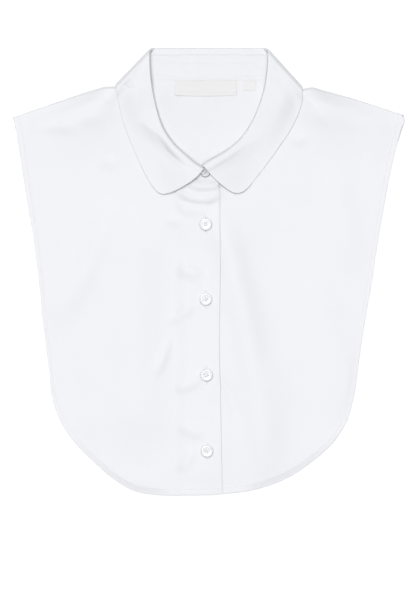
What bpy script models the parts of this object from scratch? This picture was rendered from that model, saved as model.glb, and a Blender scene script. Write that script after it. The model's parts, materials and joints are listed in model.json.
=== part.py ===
"""A detachable shirt collar, laid flat on its back: the front, back and buttoned collar of a blouse.

The wearer's right front lies at -X and laps over the left front. The neck is towards +Y.
The tables are in millimetres, seen from above, and the meshes are in metres.
Points of a side are written as (out, y), where out grows from the middle line to that side.
"""
import math

import bpy
import numpy as np

MM = 0.001

# Cloth and the way it lies
WALL = 1.0              # thickness of every cloth wall
SEAM_GAP = 0.35         # gap along a seam, between two pieces sewn together
LAP = 1.35              # rise of a wall that laps over another one
FRONT_REST = 1.6        # underside of the fronts above the floor, over the back panel
BACK_REST = 1.0         # inside of the back panel above the floor
BEND_INNER = 2.0        # inner radius of the fold at each side of the neck
BEND_MIDDLE = 3.3       # radius whose length the cloth keeps round that fold
BEND_AXIS = 4.6         # height of that fold's axis
FRONT_RISE = BEND_AXIS + BEND_INNER - FRONT_REST
BACK_RISE = 1.6         # lift of the back neck edge over the hidden part of the collar leaf
BACK_HOLD = 9.0         # distance from the neck seam over which the back panel keeps that lift
BACK_FALL = 45.0        # further distance over which it comes down
RISE_FALL = 85.0        # distance from the neck seam over which the fronts come down
LEAF_OVER = 1.6         # underside of the turned-down leaf above the inside of the stand
BEND_ANGLES = (0, 30, 60, 90, 120, 150, 180)
ARC_PARTS = (0.0, 0.33, 0.67, 1.0)   # rows round the rolled shoulder edge

# Collar
ROLL_BACK_Y = 210.3     # the fold line of the collar at the back of the neck
STAND_WIDTH = 30.3      # from the fold line down to the neck seam
LIP_WIDTH = 6.8         # the leaf's inner margin, from the fold line to the top of the stand
LIP_FRONT = 2.0         # the same margin at the front edge
LIP_LEAST = 0.8         # shortest straight part of the lip
LIP_FLAT = 3.0          # turn of the roll, in radians, past which the lip lies flat at full width
LIP_NARROWS = 0.7       # share of the front roll from which the lip narrows
ROLL_OPENS = 0.62       # share of the roll's half circle that is given up at the front edge
ROLL_NEAR = 2.5         # distance from the fold line at which the height of the roll is read
STAND_TOP = 7.1         # the top of the stand, measured from the fold line
STAND_TOP_FRONT = 2.6   # the same at the front edge
STAND_NARROWS = 0.72    # share of the front roll from which the top moves over
STAND_CLEAR = 0.4       # gap kept between the stand and the lip at the front
TAB_GAP = 0.05          # how far the lower edge of the buttoned ends stays above the seam
LEAF_BACK_WIDTH = 38.0
NECK_Y = 77.5           # the neck seam at the middle of the front
NECK_DIP = 1.75         # rise of the seam at the ends of the lapped strip
MIDDLE_X = -3.75        # the middle of the lapped strip
UNDER_EDGE_X = -17.5    # edge of the left front, under the right front
LAP_START = -34.5       # where the right front begins to rise over that edge
LAP_RUN = 15.0          # distance over which it rises
LAP_END = 12.0          # where the leaf at +X begins to come down past the lap
LAP_END_RUN = 18.0
HEM_Y = -210.0
HEM_TURN = 1.1          # rise of the hem from the under edge to the placket edge
BACK_INSET = 0.8        # the back panel shows this much less than the fronts
HALF_WIDTH = 160.0      # rough half sizes of the panel, for that inset
HALF_LENGTH = 210.0
PEEK_LOW = 118.0        # above this y the back panel shows past the right front
PEEK_RUN = 12.0
PEEK_FROM = 0.75        # share of the shoulder from which it does

SIDES = {
    "left": {
        "sign": -1.0,
        "corner_out": 55.4,
        "crease_angle": 46.0,
        "leaf_bend_width": (34.3, 32.9),
        "strip_out": 17.5,
        "roll": [(55.2, 199.0), (54.5, 186.5), (52.1, 169.2), (48.2, 152.0), (42.7, 136.3),
                 (33.3, 122.2), (22.3, 111.3), (11.3, 101.9), (3.9, 97.0)],
        "seam": [(81.0, 158.0), (74.5, 142.0), (65.5, 123.0), (54.0, 105.5), (41.0, 91.5),
                 (28.5, 82.9)],
        "leaf_edge": [(85.3, 161.4), (81.8, 145.7), (75.0, 125.7), (66.2, 105.0),
                      (56.8, 86.2), (50.6, 77.3), (46.6, 73.8)],
        "front_edge": [(42.0, 72.6), (34.8, 74.5), (23.9, 80.0), (12.9, 87.2)],
        "shoulder": [(87.8, 173.9), (97.5, 173.6), (109.7, 170.3), (131.4, 163.2), (184.0, 144.9)],
        "outline": [(181.2, 133.2), (176.5, 105.0), (170.8, 67.4), (164.3, 29.8), (159.6, -7.8),
                    (155.8, -45.4), (151.1, -83.0), (146.4, -120.6), (139.8, -139.4),
                    (127.6, -158.2), (109.7, -177.0), (88.1, -195.8), (72.1, -205.2),
                    (46.0, HEM_Y)],
        "tab_top": [(4.6, 96.4), (-0.5, 98.6), (-4.5, 97.6), (-8.0, 93.0), (-9.9, 85.5)],
        "tab_low": [11.0, 6.0, 1.0, -4.5, -9.6],
        "break_line": [(85.3, 146.4), (59.9, 132.3), (38.3, 115.4), (17.6, 101.3), (5.4, 94.7),
                       (-8.0, 88.0)],
        "fall_power": 3.0,
        "peek": 0.0,
        "lift": 2.1,
        "lift_reach": 42.0,
    },
    "right": {
        "sign": 1.0,
        "corner_out": 56.0,
        "crease_angle": 47.9,
        "leaf_bend_width": (35.4, 35.8),
        "strip_out": 10.0,
        "roll": [(54.8, 191.2), (52.9, 177.1), (48.2, 159.8), (42.7, 145.7), (35.7, 133.2),
                 (26.3, 122.2), (13.7, 112.8), (4.3, 107.4), (-3.5, 102.7), (-7.0, 100.9)],
        "seam": [(80.0, 158.5), (73.5, 142.0), (64.0, 124.0), (52.0, 107.5), (38.0, 94.0),
                 (22.5, 83.8)],
        "leaf_edge": [(88.2, 163.5), (85.9, 153.0), (78.0, 134.8), (65.4, 116.0), (52.9, 98.7),
                      (41.9, 84.6), (36.5, 78.3), (32.6, 75.2)],
        "front_edge": [(28.6, 73.7), (23.1, 74.2), (16.9, 77.8), (7.5, 85.5)],
        "shoulder": [(88.1, 171.5), (97.0, 173.2), (108.3, 170.2), (133.7, 163.2), (182.4, 147.4)],
        "outline": [(183.6, 144.4), (180.7, 133.2), (173.2, 105.0), (165.7, 67.4), (159.1, 29.8),
                    (153.5, -7.8), (146.9, -45.4), (141.2, -83.0), (135.6, -120.6),
                    (130.0, -139.4), (118.7, -158.2), (98.9, -177.0), (69.8, -195.8),
                    (41.6, -205.2)],
        "tab_top": [(-5.0, 98.2), (-9.0, 97.0), (-13.0, 92.5), (-15.2, 88.5)],
        "tab_low": [3.0, -3.0, -9.0, -15.0],
        "break_line": [(83.9, 146.4), (62.3, 132.3), (43.5, 116.3), (24.7, 106.0), (5.9, 98.5),
                       (-8.0, 92.0)],
        "fall_power": 4.0,
        "peek": 1.4,
        "lift": 0.9,
        "lift_reach": 34.0,
    },
}
APEX = (-3.6, 96.2)          # where the two leaves part, seen from above
LIFT_HOLD = 5.0              # distance from there over which a leaf keeps its full lift
BREAK_DROP = 3.0             # fall of a leaf across its break line
BREAK_START = 3.0            # distance before the break line at which the fall starts
BREAK_RUN = 17.0             # length of the fall
BREAK_STEEP = 0.6            # below 1, the fall is steepest near its start
BREAK_GROWS = (8.0, 92.0)    # distance past the side fold at which the step starts, and grows
BREAK_SWELL = 1.5            # above 1, it grows fastest at first
NECK_REACH = 70.0            # length past the side fold over which the collar comes down
NECK_LOW = 0.2               # share of the rise that is left at the middle of the front

# The edge of the right front, from the neck to the hem: y, x
PLACKET_EDGE = [(77.5, 10.0), (8.0, 11.2), (-71.0, 9.8), (-102.0, 10.6), (-208.9, 12.8)]

# Soft folds of the fronts: start x, y, end x, y, half width, height
FOLDS = [
    (-104.0, 22.0, -92.0, -120.0, 13.0, 2.4),
    (-33.0, -25.0, -29.0, -190.0, 10.0, 1.5),
    (-92.0, 58.0, -134.0, 0.0, 12.0, 1.5),
    (62.0, 5.0, 102.0, -138.0, 14.0, 2.4),
    (24.0, -20.0, 32.0, -118.0, 8.0, 1.2),
    (118.0, 92.0, 134.0, 10.0, 13.0, 1.3),
]
FOLD_FADE = 26.0             # length over which a fold dies away at each end
STRIP_PARTS = (0.0, 0.34, 0.67, 1.0)   # lines of the lapped strip
SHOULDER_BLEND = 0.16        # share of the way round over which a front leaves its shoulder edge
LEAN_END = 0.97              # where the front end of the seam reads the way to the fold line

# Labels in the back neck: left, right, lower edge, bow of the lower edge
NECK_LABEL = (-31.7, 26.4, 165.6, 0.8)
SIZE_LABEL = (33.1, 44.4, 169.9, 0.0)
LABEL_TUCK = 0.1             # gap between a label's upper edge and the neck seam
LABEL_OVER = 0.45            # gap between a label and the back panel
LABEL_COLUMNS = 8
LABEL_ROWS = 5

# Buttons: x, y, radius
BUTTONS = {
    "button_1": (-2.8, 44.5, 6.0),
    "button_2": (-2.7, -26.0, 6.0),
    "button_3": (-2.1, -97.1, 6.0),
    "button_4": (-1.6, -168.5, 6.0),
    "stand_button": (-3.2, 93.2, 4.7),
}
BUTTON_HEIGHT = 2.2
BUTTON_SIDES = 20
# Half section of a button, from its underside over the rim to the dish: share of radius, of height
BUTTON_PROFILE = [(0.90, 0.0), (1.0, 0.45), (0.95, 0.9), (0.84, 1.0), (0.70, 0.66)]

FRONT_COLUMNS = 18           # from the neck seam out to the side and hem
FRONT_ROWS = 22              # from the shoulder round to the lapped strip
BACK_COLUMNS = 12
BACK_ROWS = 20               # from each shoulder round to the middle of the back
LEAF_STEPS = 24              # along each front half of the collar
LEAF_COLUMNS = 10            # across the leaf, from the roll to its outer edge
ROLL_STEPS = 5               # round the half circle of the roll
STAND_COLUMNS = 3            # across the stand
BACK_STEPS = 5               # along each half of the collar's back
LINE_STEPS = 40              # along the line across the leaf from which its columns are read


def ease(value):
    """A ramp from 0 to 1 with level ends."""
    held = np.clip(value, 0.0, 1.0)
    return held * held * (3.0 - 2.0 * held)


def curve(points, shares):
    """A smooth curve through the points, read at shares of its length.

    Each stretch is a cubic whose end slopes are those of the line between its neighbours.
    """
    points = np.asarray(points, float)
    knots = np.concatenate([[0.0], np.cumsum(np.linalg.norm(np.diff(points, axis=0), axis=1))])
    slopes = np.gradient(points, knots, axis=0)
    fine = np.linspace(0.0, knots[-1], 60 * len(points))
    cell = np.clip(np.searchsorted(knots, fine, side="right") - 1, 0, len(knots) - 2)
    width = (knots[cell + 1] - knots[cell])[:, None]
    part = (fine[:, None] - knots[cell][:, None]) / width
    line = ((2 * part**3 - 3 * part**2 + 1) * points[cell]
            + (part**3 - 2 * part**2 + part) * width * slopes[cell]
            + (3 * part**2 - 2 * part**3) * points[cell + 1]
            + (part**3 - part**2) * width * slopes[cell + 1])
    run = np.concatenate([[0.0], np.cumsum(np.linalg.norm(np.diff(line, axis=0), axis=1))])
    wanted = np.asarray(shares, float) * run[-1]
    return np.stack([np.interp(wanted, run, line[:, axis]) for axis in range(line.shape[1])], axis=-1)


def patch(first, last, start, end, down, across):
    """A Coons patch: rows run from first to last (down), columns from start to end (across)."""
    d = np.asarray(down)[:, None, None]
    a = np.asarray(across)[None, :, None]
    ruled = (1 - d) * first[None] + d * last[None]
    crossed = (1 - a) * start[:, None] + a * end[:, None]
    corners = ((1 - d) * (1 - a) * first[0] + (1 - d) * a * first[-1]
               + d * (1 - a) * last[0] + d * a * last[-1])
    return ruled + crossed - corners


def away_from_crease(side, out, y):
    """How far a point lies inside the side fold of the neck, square to its crease."""
    angle = math.radians(side["crease_angle"])
    outward = (out - side["corner_out"]) * math.sin(angle) + (y - ROLL_BACK_Y) * math.cos(angle)
    return -outward - 0.5 * math.pi * BEND_MIDDLE


def neck_height(side, out, y):
    """Height of the inside of the stand in front of the side fold, falling to the front."""
    far = np.clip(away_from_crease(side, out, y) / NECK_REACH, 0.0, 1.0)
    left = NECK_LOW + (1.0 - NECK_LOW) * (1.0 - far) ** side["fall_power"]
    return FRONT_REST + FRONT_RISE * left


def lap_rise(x):
    """Lift of the right front and its end of the stand where they lie over the left ones."""
    return LAP * ease((x - LAP_START) / LAP_RUN)


def break_rise(side, out, y):
    """Height that a leaf keeps behind its break line, which runs from its outer edge to the middle."""
    line = curve(side["break_line"], np.linspace(0.0, 1.0, LINE_STEPS))
    slope = np.gradient(line, axis=0)
    slope /= np.linalg.norm(slope, axis=1, keepdims=True)
    gap = np.stack(np.broadcast_arrays(out, y), axis=-1)[..., None, :] - line
    near = np.argmin((gap**2).sum(axis=-1), axis=-1)
    offset = np.take_along_axis(gap, near[..., None, None], axis=-2)[..., 0, :]
    before = offset[..., 0] * slope[near][..., 1] - offset[..., 1] * slope[near][..., 0]
    fallen = np.clip((BREAK_START - before) / BREAK_RUN, 0.0, 1.0)
    start, length = BREAK_GROWS
    grown = np.clip((away_from_crease(side, out, y) - start) / length, 0.0, 1.0)
    step = BREAK_DROP * (1.0 - (1.0 - grown) ** BREAK_SWELL)
    return step * (1.0 - ease(fallen**BREAK_STEEP))


def leaf_rise(side, x, y):
    """Lift of a leaf near the middle of the front, over the lapped stand and its button."""
    distance = np.hypot(x - APEX[0], y - APEX[1])
    lift = side["lift"] * (1.0 - ease((distance - LIFT_HOLD) / side["lift_reach"]))
    lift = lift + break_rise(side, side["sign"] * x, y)
    if side["sign"] < 0:
        return lift + lap_rise(x)
    return lift + LAP * (1.0 - ease((x - LAP_END) / LAP_END_RUN))


def bend_place(side, step, width, depth):
    """A point of the collar at the back or in the side fold, from its place on the flat collar.

    step is the length along the fold line past the corner, width the distance from that line
    and depth the distance above the inside of the stand. The cloth lies flat at the back,
    goes round an axis along the crease through half a turn, and lies flat on top of itself.
    """
    angle = math.radians(side["crease_angle"])
    along = step * math.cos(angle) + width / math.sin(angle)
    across = step * math.sin(angle)
    half = 0.5 * math.pi * BEND_MIDDLE
    turn = np.clip((across + half) / BEND_MIDDLE, 0.0, math.pi)
    radius = BEND_INNER + depth
    outward = np.where(across < -half, across, np.where(across > half, -across, -half))
    outward = outward + radius * np.sin(turn)
    z = BEND_AXIS - radius * np.cos(turn)
    out = side["corner_out"] + along * math.cos(angle) + outward * math.sin(angle)
    y = ROLL_BACK_Y - along * math.sin(angle) + outward * math.cos(angle)
    return np.stack(np.broadcast_arrays(side["sign"] * out, y, z), axis=-1)


def back_place(side, run, width, depth):
    """A point of the flat back of the collar, on a line that leans out towards the crease."""
    angle = math.radians(side["crease_angle"])
    start = side["corner_out"] - bend_step(side)
    lean = ease(run / start) / math.tan(angle)
    out = run + width * lean
    z = BEND_AXIS - BEND_INNER - depth
    return np.stack(np.broadcast_arrays(side["sign"] * out, ROLL_BACK_Y - width, z), axis=-1)


def bend_step(side):
    """Length along the fold line from the corner to either end of the side fold."""
    return 0.5 * math.pi * BEND_MIDDLE / math.sin(math.radians(side["crease_angle"]))


def bend_end(side, width):
    """The (out, y) point where the side fold ends, at a distance from the fold line."""
    point = bend_place(side, bend_step(side), width, 0.0)
    return (side["sign"] * point[0], point[1])


def roll_line(side, shares):
    return curve([bend_end(side, 0.0)] + side["roll"], shares)


def strip_neck(x):
    """The neck seam across the lapped strip."""
    return NECK_Y + NECK_DIP * ((x - MIDDLE_X) / (MIDDLE_X - UNDER_EDGE_X)) ** 2


def seam_line(side, shares):
    end = side["strip_out"]
    return curve([bend_end(side, STAND_WIDTH)] + side["seam"] + [(end, strip_neck(side["sign"] * end))],
                 shares)


def add_mesh(name, points, faces, material):
    """Make one named object from points in millimetres and faces that look outwards."""
    mesh = bpy.data.meshes.new(name)
    mesh.from_pydata((np.asarray(points) * MM).tolist(), [], faces)
    mesh.shade_smooth()
    mesh.set_sharp_from_angle(angle=math.radians(50))
    mesh.materials.append(material)
    node = bpy.data.objects.new(name, mesh)
    bpy.context.collection.objects.link(node)
    return node


def add_wall(name, inner, outer, material):
    """Close two grids of the same size into one wall.

    The faces look from the inner grid to the outer one if the columns turn left of the rows.
    """
    rows, columns = inner.shape[:2]
    points = np.concatenate([inner.reshape(-1, 3), outer.reshape(-1, 3)])
    number = np.arange(rows * columns).reshape(rows, columns)
    top = number + rows * columns
    quads = [np.stack([top[:-1, :-1], top[1:, :-1], top[1:, 1:], top[:-1, 1:]], -1).reshape(-1, 4),
             np.stack([number[:-1, :-1], number[:-1, 1:], number[1:, 1:], number[1:, :-1]],
                      -1).reshape(-1, 4)]
    rim = np.concatenate([number[:-1, 0], number[-1, :-1], number[:0:-1, -1], number[0, :0:-1]])
    after = np.roll(rim, -1)
    raised = rows * columns
    quads.append(np.stack([rim, after, after + raised, rim + raised], -1))
    faces = np.concatenate(quads)
    first = points[faces[:, 0]]
    volume = sum(np.einsum("ij,ij->i", first, np.cross(points[faces[:, k]], points[faces[:, k + 1]])).sum()
                 for k in (1, 2))
    if volume < 0:
        faces = faces[:, ::-1]
    return add_mesh(name, points, faces.tolist(), material)


def normals(grid):
    """Unit normals of a grid, looking up."""
    normal = np.cross(np.gradient(grid, axis=0), np.gradient(grid, axis=1))
    normal /= np.linalg.norm(normal, axis=-1, keepdims=True)
    return normal * np.where(normal[..., 2:] < 0, -1.0, 1.0)


def fold_height(x, y):
    """The soft folds: each is a bell-shaped ridge along a line, fading out at its ends."""
    height = np.zeros_like(x)
    for x0, y0, x1, y1, half_width, rise in FOLDS:
        length = math.hypot(x1 - x0, y1 - y0)
        along = ((x - x0) * (x1 - x0) + (y - y0) * (y1 - y0)) / length
        beside = ((x - x0) * (y1 - y0) - (y - y0) * (x1 - x0)) / length
        ends = ease((along + FOLD_FADE) / FOLD_FADE) * ease((length + FOLD_FADE - along) / FOLD_FADE)
        height += rise * ends * np.exp(-(beside / half_width) ** 2)
    return height


def panel_front_height(side, out, y, distance):
    """Height of the underside of a front, at a distance from the neck seam."""
    share = 1.0 - ease(distance / RISE_FALL)
    rise = (neck_height(side, out, y) - FRONT_REST) * share
    return FRONT_REST + rise + fold_height(side["sign"] * out, y)


def panel_back_height(distance):
    """Height of the inside of the back panel, at a distance from the neck seam."""
    return BACK_REST + BACK_RISE * (1.0 - ease((distance - BACK_HOLD) / BACK_FALL))


def shoulder_arc(side, columns, front):
    """The rolled shoulder edge of a panel: inner and outer rows from the seam to the flat cloth.

    Front and back meet at mid-height, round an axis that comes down from the neck to the tip.
    """
    shares = np.linspace(0.0, 1.0, columns + 1)[1:]
    line = curve(side["shoulder"], (shares - shares[0]) / (1.0 - shares[0]))
    if not front:
        shown = ease((shares - PEEK_FROM) / (1.0 - PEEK_FROM))
        line = line - [0.0, BACK_INSET * 0.5] + np.outer(shown, [side["peek"], 0.0])
    slope = np.gradient(line, axis=0)
    slope /= np.linalg.norm(slope, axis=1, keepdims=True)
    inward = np.stack([slope[:, 1], -slope[:, 0]], axis=1)
    distance = np.hypot(*(line - bend_end(side, STAND_WIDTH)).T)
    share = 1.0 - ease(distance / RISE_FALL)
    top = FRONT_REST + FRONT_RISE * share
    bottom = panel_back_height(distance)
    radius = 0.5 * (top - bottom)
    axis = 0.5 * (top + bottom)
    start = np.arcsin(0.5 * SEAM_GAP / radius)
    grids = []
    for depth in (0.0, WALL):
        rows = []
        for part in ARC_PARTS:
            turn = start + (0.5 * math.pi - start) * part
            move = (radius + WALL) - (radius + depth) * np.cos(turn)
            place = line + inward * move[:, None]
            rise = (radius + depth) * np.sin(turn)
            z = axis + rise if front else axis - rise
            rows.append(np.column_stack([side["sign"] * place[:, 0], place[:, 1], z]))
        grids.append(np.array(rows))
    return grids


def neck_arc(side, front):
    """The same rows at the neck seam, where the panel goes round the side fold of the collar."""
    gap = math.asin(0.5 * SEAM_GAP / BEND_INNER)
    grids = []
    for depth in (0.0, WALL):
        rows = []
        for part in ARC_PARTS:
            turn = gap + (0.5 * math.pi - gap) * part
            step = turn * BEND_MIDDLE / math.sin(math.radians(side["crease_angle"]))
            rows.append(bend_place(side, step if front else -step, STAND_WIDTH + SEAM_GAP, depth))
        grids.append(np.array(rows))
    return grids


def front_patch(side):
    """Inner and outer grids of one front, from its shoulder round to the lapped strip.

    Rows run round the neck, from the shoulder seam to the strip. Columns run from the neck
    seam out to the side and the hem.
    """
    arc_inner, arc_outer = shoulder_arc(side, FRONT_COLUMNS, True)
    neck_inner, neck_outer = neck_arc(side, True)
    inner_rows = np.concatenate([neck_inner[:, None], arc_inner], axis=1)
    outer_rows = np.concatenate([neck_outer[:, None], arc_outer], axis=1)
    across = np.linspace(0.0, 1.0, FRONT_COLUMNS + 1)
    down = np.linspace(0.0, 1.0, FRONT_ROWS + 1)
    first = inner_rows[-1, :, :2] * [side["sign"], 1.0]
    last = strip_lines(across)[0 if side["sign"] < 0 else -1, :, :2] * [side["sign"], 1.0]
    seam = seam_line(side, down)
    roll = roll_line(side, np.concatenate([down[:-1], [LEAN_END]]))
    lean = seam - roll
    seam = seam + SEAM_GAP * lean / np.linalg.norm(lean, axis=1, keepdims=True)
    seam[0] = first[0]
    seam[-1] = last[0]
    outline = curve([first[-1]] + side["outline"] + [last[-1]], down)
    plan = patch(first, last, seam, outline, down, across)
    distance = np.linalg.norm(plan - plan[:, :1], axis=-1)
    z = panel_front_height(side, plan[..., 0], plan[..., 1], distance)
    blend = (1.0 - ease(down / SHOULDER_BLEND))[:, None]
    z = z + blend * (inner_rows[-1, :, 2] - z[0])[None]
    flat = np.dstack([side["sign"] * plan[..., 0], plan[..., 1], z])
    flat[0] = inner_rows[-1]
    return inner_rows[:-1], outer_rows[:-1], flat


def strip_lines(shares):
    """The plan of the strip where the fronts lap: four lines from the neck seam to the hem."""
    lines = []
    edge_table = np.array(PLACKET_EDGE)
    for part in STRIP_PARTS:
        edge_top = np.interp(NECK_Y, edge_table[::-1, 0], edge_table[::-1, 1])
        top_x = UNDER_EDGE_X + part * (edge_top - UNDER_EDGE_X)
        top_y = strip_neck(top_x) - SEAM_GAP
        hem_y = HEM_Y + HEM_TURN * part**2
        y = top_y + (hem_y - top_y) * shares
        edge = np.interp(y, edge_table[::-1, 0], edge_table[::-1, 1])
        x = UNDER_EDGE_X + part * (edge - UNDER_EDGE_X)
        z = panel_front_height(SIDES["left"], -x, y, top_y - y)
        lines.append(np.column_stack([x, y, z]))
    return np.array(lines)


def add_fronts(material):
    """Both fronts come from one grid, so that the lapped strip has the same points in each."""
    left_arc_in, left_arc_out, left_flat = front_patch(SIDES["left"])
    right_arc_in, right_arc_out, right_flat = front_patch(SIDES["right"])
    strip = strip_lines(np.linspace(0.0, 1.0, FRONT_COLUMNS + 1))
    whole = np.concatenate([left_flat[:-1], strip, right_flat[-2::-1]])
    normal = normals(whole)
    left_rows = len(left_flat) - 1
    split = left_rows + len(strip)
    lap = lap_rise(whole[..., 0:1])
    inner = np.concatenate([left_arc_in, (whole + normal * lap)[:split]])
    outer = np.concatenate([left_arc_out, (whole + normal * (lap + WALL))[:split]])
    add_wall("right_front", inner, outer, material)
    inner = np.concatenate([whole[left_rows:], right_arc_in[::-1]])
    outer = np.concatenate([(whole + normal * WALL)[left_rows:], right_arc_out[::-1]])
    add_wall("left_front", inner, outer, material)


def back_half(side):
    """Inner and outer grids of half the back panel, from the shoulder to the middle line."""
    arc_inner, arc_outer = shoulder_arc(side, BACK_COLUMNS, False)
    neck_inner, neck_outer = neck_arc(side, False)
    inner_rows = np.concatenate([neck_inner[:, None], arc_inner], axis=1)
    outer_rows = np.concatenate([neck_outer[:, None], arc_outer], axis=1)
    across = np.linspace(0.0, 1.0, BACK_COLUMNS + 1)
    down = np.linspace(0.0, 1.0, BACK_ROWS + 1)
    first = inner_rows[-1, :, :2] * [side["sign"], 1.0]
    neck_y = ROLL_BACK_Y - STAND_WIDTH - SEAM_GAP
    seam = curve([first[0], (0.0, neck_y)], down)
    seam[:, 1] = neck_y
    hem = HEM_Y + BACK_INSET
    table = np.array(side["outline"])
    trimmed = table * [1.0 - BACK_INSET / HALF_WIDTH, 1.0 - BACK_INSET / HALF_LENGTH]
    trimmed[:, 0] += side["peek"] * ease((table[:, 1] - PEEK_LOW) / PEEK_RUN)
    outline = curve([first[-1]] + trimmed.tolist() + [(0.0, hem)], down)
    middle_y = neck_y + (hem - neck_y) * across
    last = np.column_stack([np.zeros_like(middle_y), middle_y])
    plan = patch(first, last, seam, outline, down, across)
    distance = np.linalg.norm(plan - plan[:, :1], axis=-1)
    flat = np.dstack([side["sign"] * plan[..., 0], plan[..., 1], panel_back_height(distance)])
    flat[0] = inner_rows[-1]
    return inner_rows[:-1], outer_rows[:-1], flat


def add_back(material):
    left_in, left_out, left_flat = back_half(SIDES["left"])
    right_in, right_out, right_flat = back_half(SIDES["right"])
    flat = np.concatenate([left_flat, right_flat[-2::-1]])
    under = flat - [0.0, 0.0, WALL]
    inner = np.concatenate([left_in, flat, right_in[::-1]])
    outer = np.concatenate([left_out, under, right_out[::-1]])
    add_wall("back_panel", inner, outer, material)


def stand_half(side):
    """Inner and outer grids of half the stand, from the middle of the back to its front end."""
    parts = np.linspace(0.0, 1.0, STAND_COLUMNS + 1)
    widths = STAND_TOP + (STAND_WIDTH - STAND_TOP) * parts
    half = bend_step(side)
    runs = np.linspace(0.0, side["corner_out"] - half, BACK_STEPS + 1)
    shares = np.linspace(0.0, 1.0, LEAF_STEPS + 1)[1:]
    over = side["sign"] < 0
    roll = roll_line(side, shares)
    seam = seam_line(side, shares)
    grids = []
    for depth in (0.0, WALL):
        columns = [back_place(side, run, widths, depth) for run in runs]
        for turn in BEND_ANGLES[1:]:
            step = half * (turn / 90.0 - 1.0)
            columns.append(bend_place(side, step, widths, depth))
        for share, top, low in zip(shares, roll, seam):
            late = ease((share - STAND_NARROWS) / (1.0 - STAND_NARROWS))
            start = STAND_TOP - (STAND_TOP - STAND_TOP_FRONT) * late
            start = (start + STAND_CLEAR) / np.linalg.norm(low - top)
            columns.append(front_place(side, top, low, start + (1.0 - start) * parts, depth, over))
        for top, low in stand_tab(side):
            columns.append(front_place(side, top, low, parts, depth, over))
        grids.append(np.array(columns))
    return grids


def stand_tab(side):
    """Upper and lower points of the rounded end that runs on past the leaf."""
    points = []
    for end, low in zip(side["tab_top"], side["tab_low"]):
        points.append((np.array(end), np.array([low, strip_neck(side["sign"] * low) + TAB_GAP])))
    return points


def front_place(side, top, low, part, depth, over):
    """Points of the front of the collar between two plan points, at a depth over the stand."""
    plan = top + (low - top) * np.asarray(part)[:, None]
    x = side["sign"] * plan[:, 0]
    z = neck_height(side, plan[:, 0], plan[:, 1]) + depth
    if over:
        z = z + lap_rise(x)
    return np.column_stack([x, plan[:, 1], z])


def join_halves(name, left, right, material):
    """Put two half grids end to end at the middle of the back."""
    inner = np.concatenate([left[0][::-1], right[0][1:]])
    outer = np.concatenate([left[1][::-1], right[1][1:]])
    return add_wall(name, inner, outer, material)


def leaf_section(low, high, first_turn, lip):
    """The leaf's cross-section: width and depth of its middle, and the direction to its outside.

    It runs from the lip beside the stand, round the half circle of the roll, to the top.
    """
    radius = 0.5 * (high - low)
    middle = 0.5 * (high + low)
    centre = radius + 0.5 * WALL
    turn = np.linspace(first_turn, 0.0, ROLL_STEPS + 1)
    width = centre - radius * np.sin(turn)
    depth = middle + radius * np.cos(turn)
    facing = np.column_stack([-np.sin(turn), np.cos(turn)])
    tangent = np.array([-math.cos(first_turn), -math.sin(first_turn)])
    length = max(lip - centre, LIP_LEAST) if first_turn > LIP_FLAT else LIP_LEAST
    lips = np.array([length, 0.5 * length])[:, None] * tangent + [width[0], depth[0]]
    width = np.concatenate([lips[:, 0], width])
    depth = np.concatenate([lips[:, 1], depth])
    facing = np.concatenate([facing[:1], facing[:1], facing])
    return width, depth, facing


def leaf_half(side):
    """Inner and outer grids of half the leaf, from the middle of the back to its front edge."""
    half = bend_step(side)
    runs = np.linspace(0.0, side["corner_out"] - half, BACK_STEPS + 1)
    shares = np.linspace(0.0, 1.0, LEAF_STEPS + 1)[1:]
    top_parts = np.linspace(0.0, 1.0, LEAF_COLUMNS + 1)[1:]
    low = 0.5 * WALL
    high = LEAF_OVER + 0.5 * WALL
    plain = leaf_section(low, high, math.pi, LIP_WIDTH)
    bend_widths = side["leaf_bend_width"]
    columns_plan = leaf_front_plan(side, shares)
    grids = []
    for away in (-0.5 * WALL, 0.5 * WALL):
        columns = []
        for run in runs:
            narrow = LEAF_BACK_WIDTH - (LEAF_BACK_WIDTH - bend_widths[0]) * ease(run / runs[-1])
            width, depth = leaf_column(plain, narrow, top_parts, away)
            columns.append(back_place(side, run, width, depth))
        for turn in BEND_ANGLES[1:]:
            step = half * (turn / 90.0 - 1.0)
            part = turn / 180.0
            wide = bend_widths[0] + (bend_widths[1] - bend_widths[0]) * part
            width, depth = leaf_column(plain, wide, top_parts, away)
            columns.append(bend_place(side, step, width, depth))
        for index, share in enumerate(shares):
            columns.append(leaf_front_column(side, columns_plan[index], share, top_parts, away))
        grids.append(np.array(columns))
    return grids


def leaf_column(section, whole_width, top_parts, away):
    """Widths and depths down one column of the leaf, offset from its middle by away."""
    width, depth, facing = section
    centre = width[-1]
    tops = centre + (whole_width - centre) * top_parts
    widths = np.concatenate([width + away * facing[:, 0], tops])
    depths = np.concatenate([depth + away * facing[:, 1], np.full(len(tops), depth[-1] + away)])
    return widths, depths


def leaf_front_plan(side, shares):
    """Plan of the front of a leaf: fine lines from the roll to the outer edge, one for each share."""
    fine = np.linspace(0.0, 1.0, LINE_STEPS + 1)
    every = np.concatenate([[0.0], shares])
    roll = roll_line(side, every)
    wide = side["leaf_bend_width"][1]
    edge = curve([bend_end(side, wide)] + side["leaf_edge"] + [side["front_edge"][0]], every)
    start = curve([roll[0], edge[0]], fine)
    end = curve([roll[-1]] + side["front_edge"][::-1], fine)
    return patch(start, end, roll, edge, every, fine)[1:]


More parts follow.
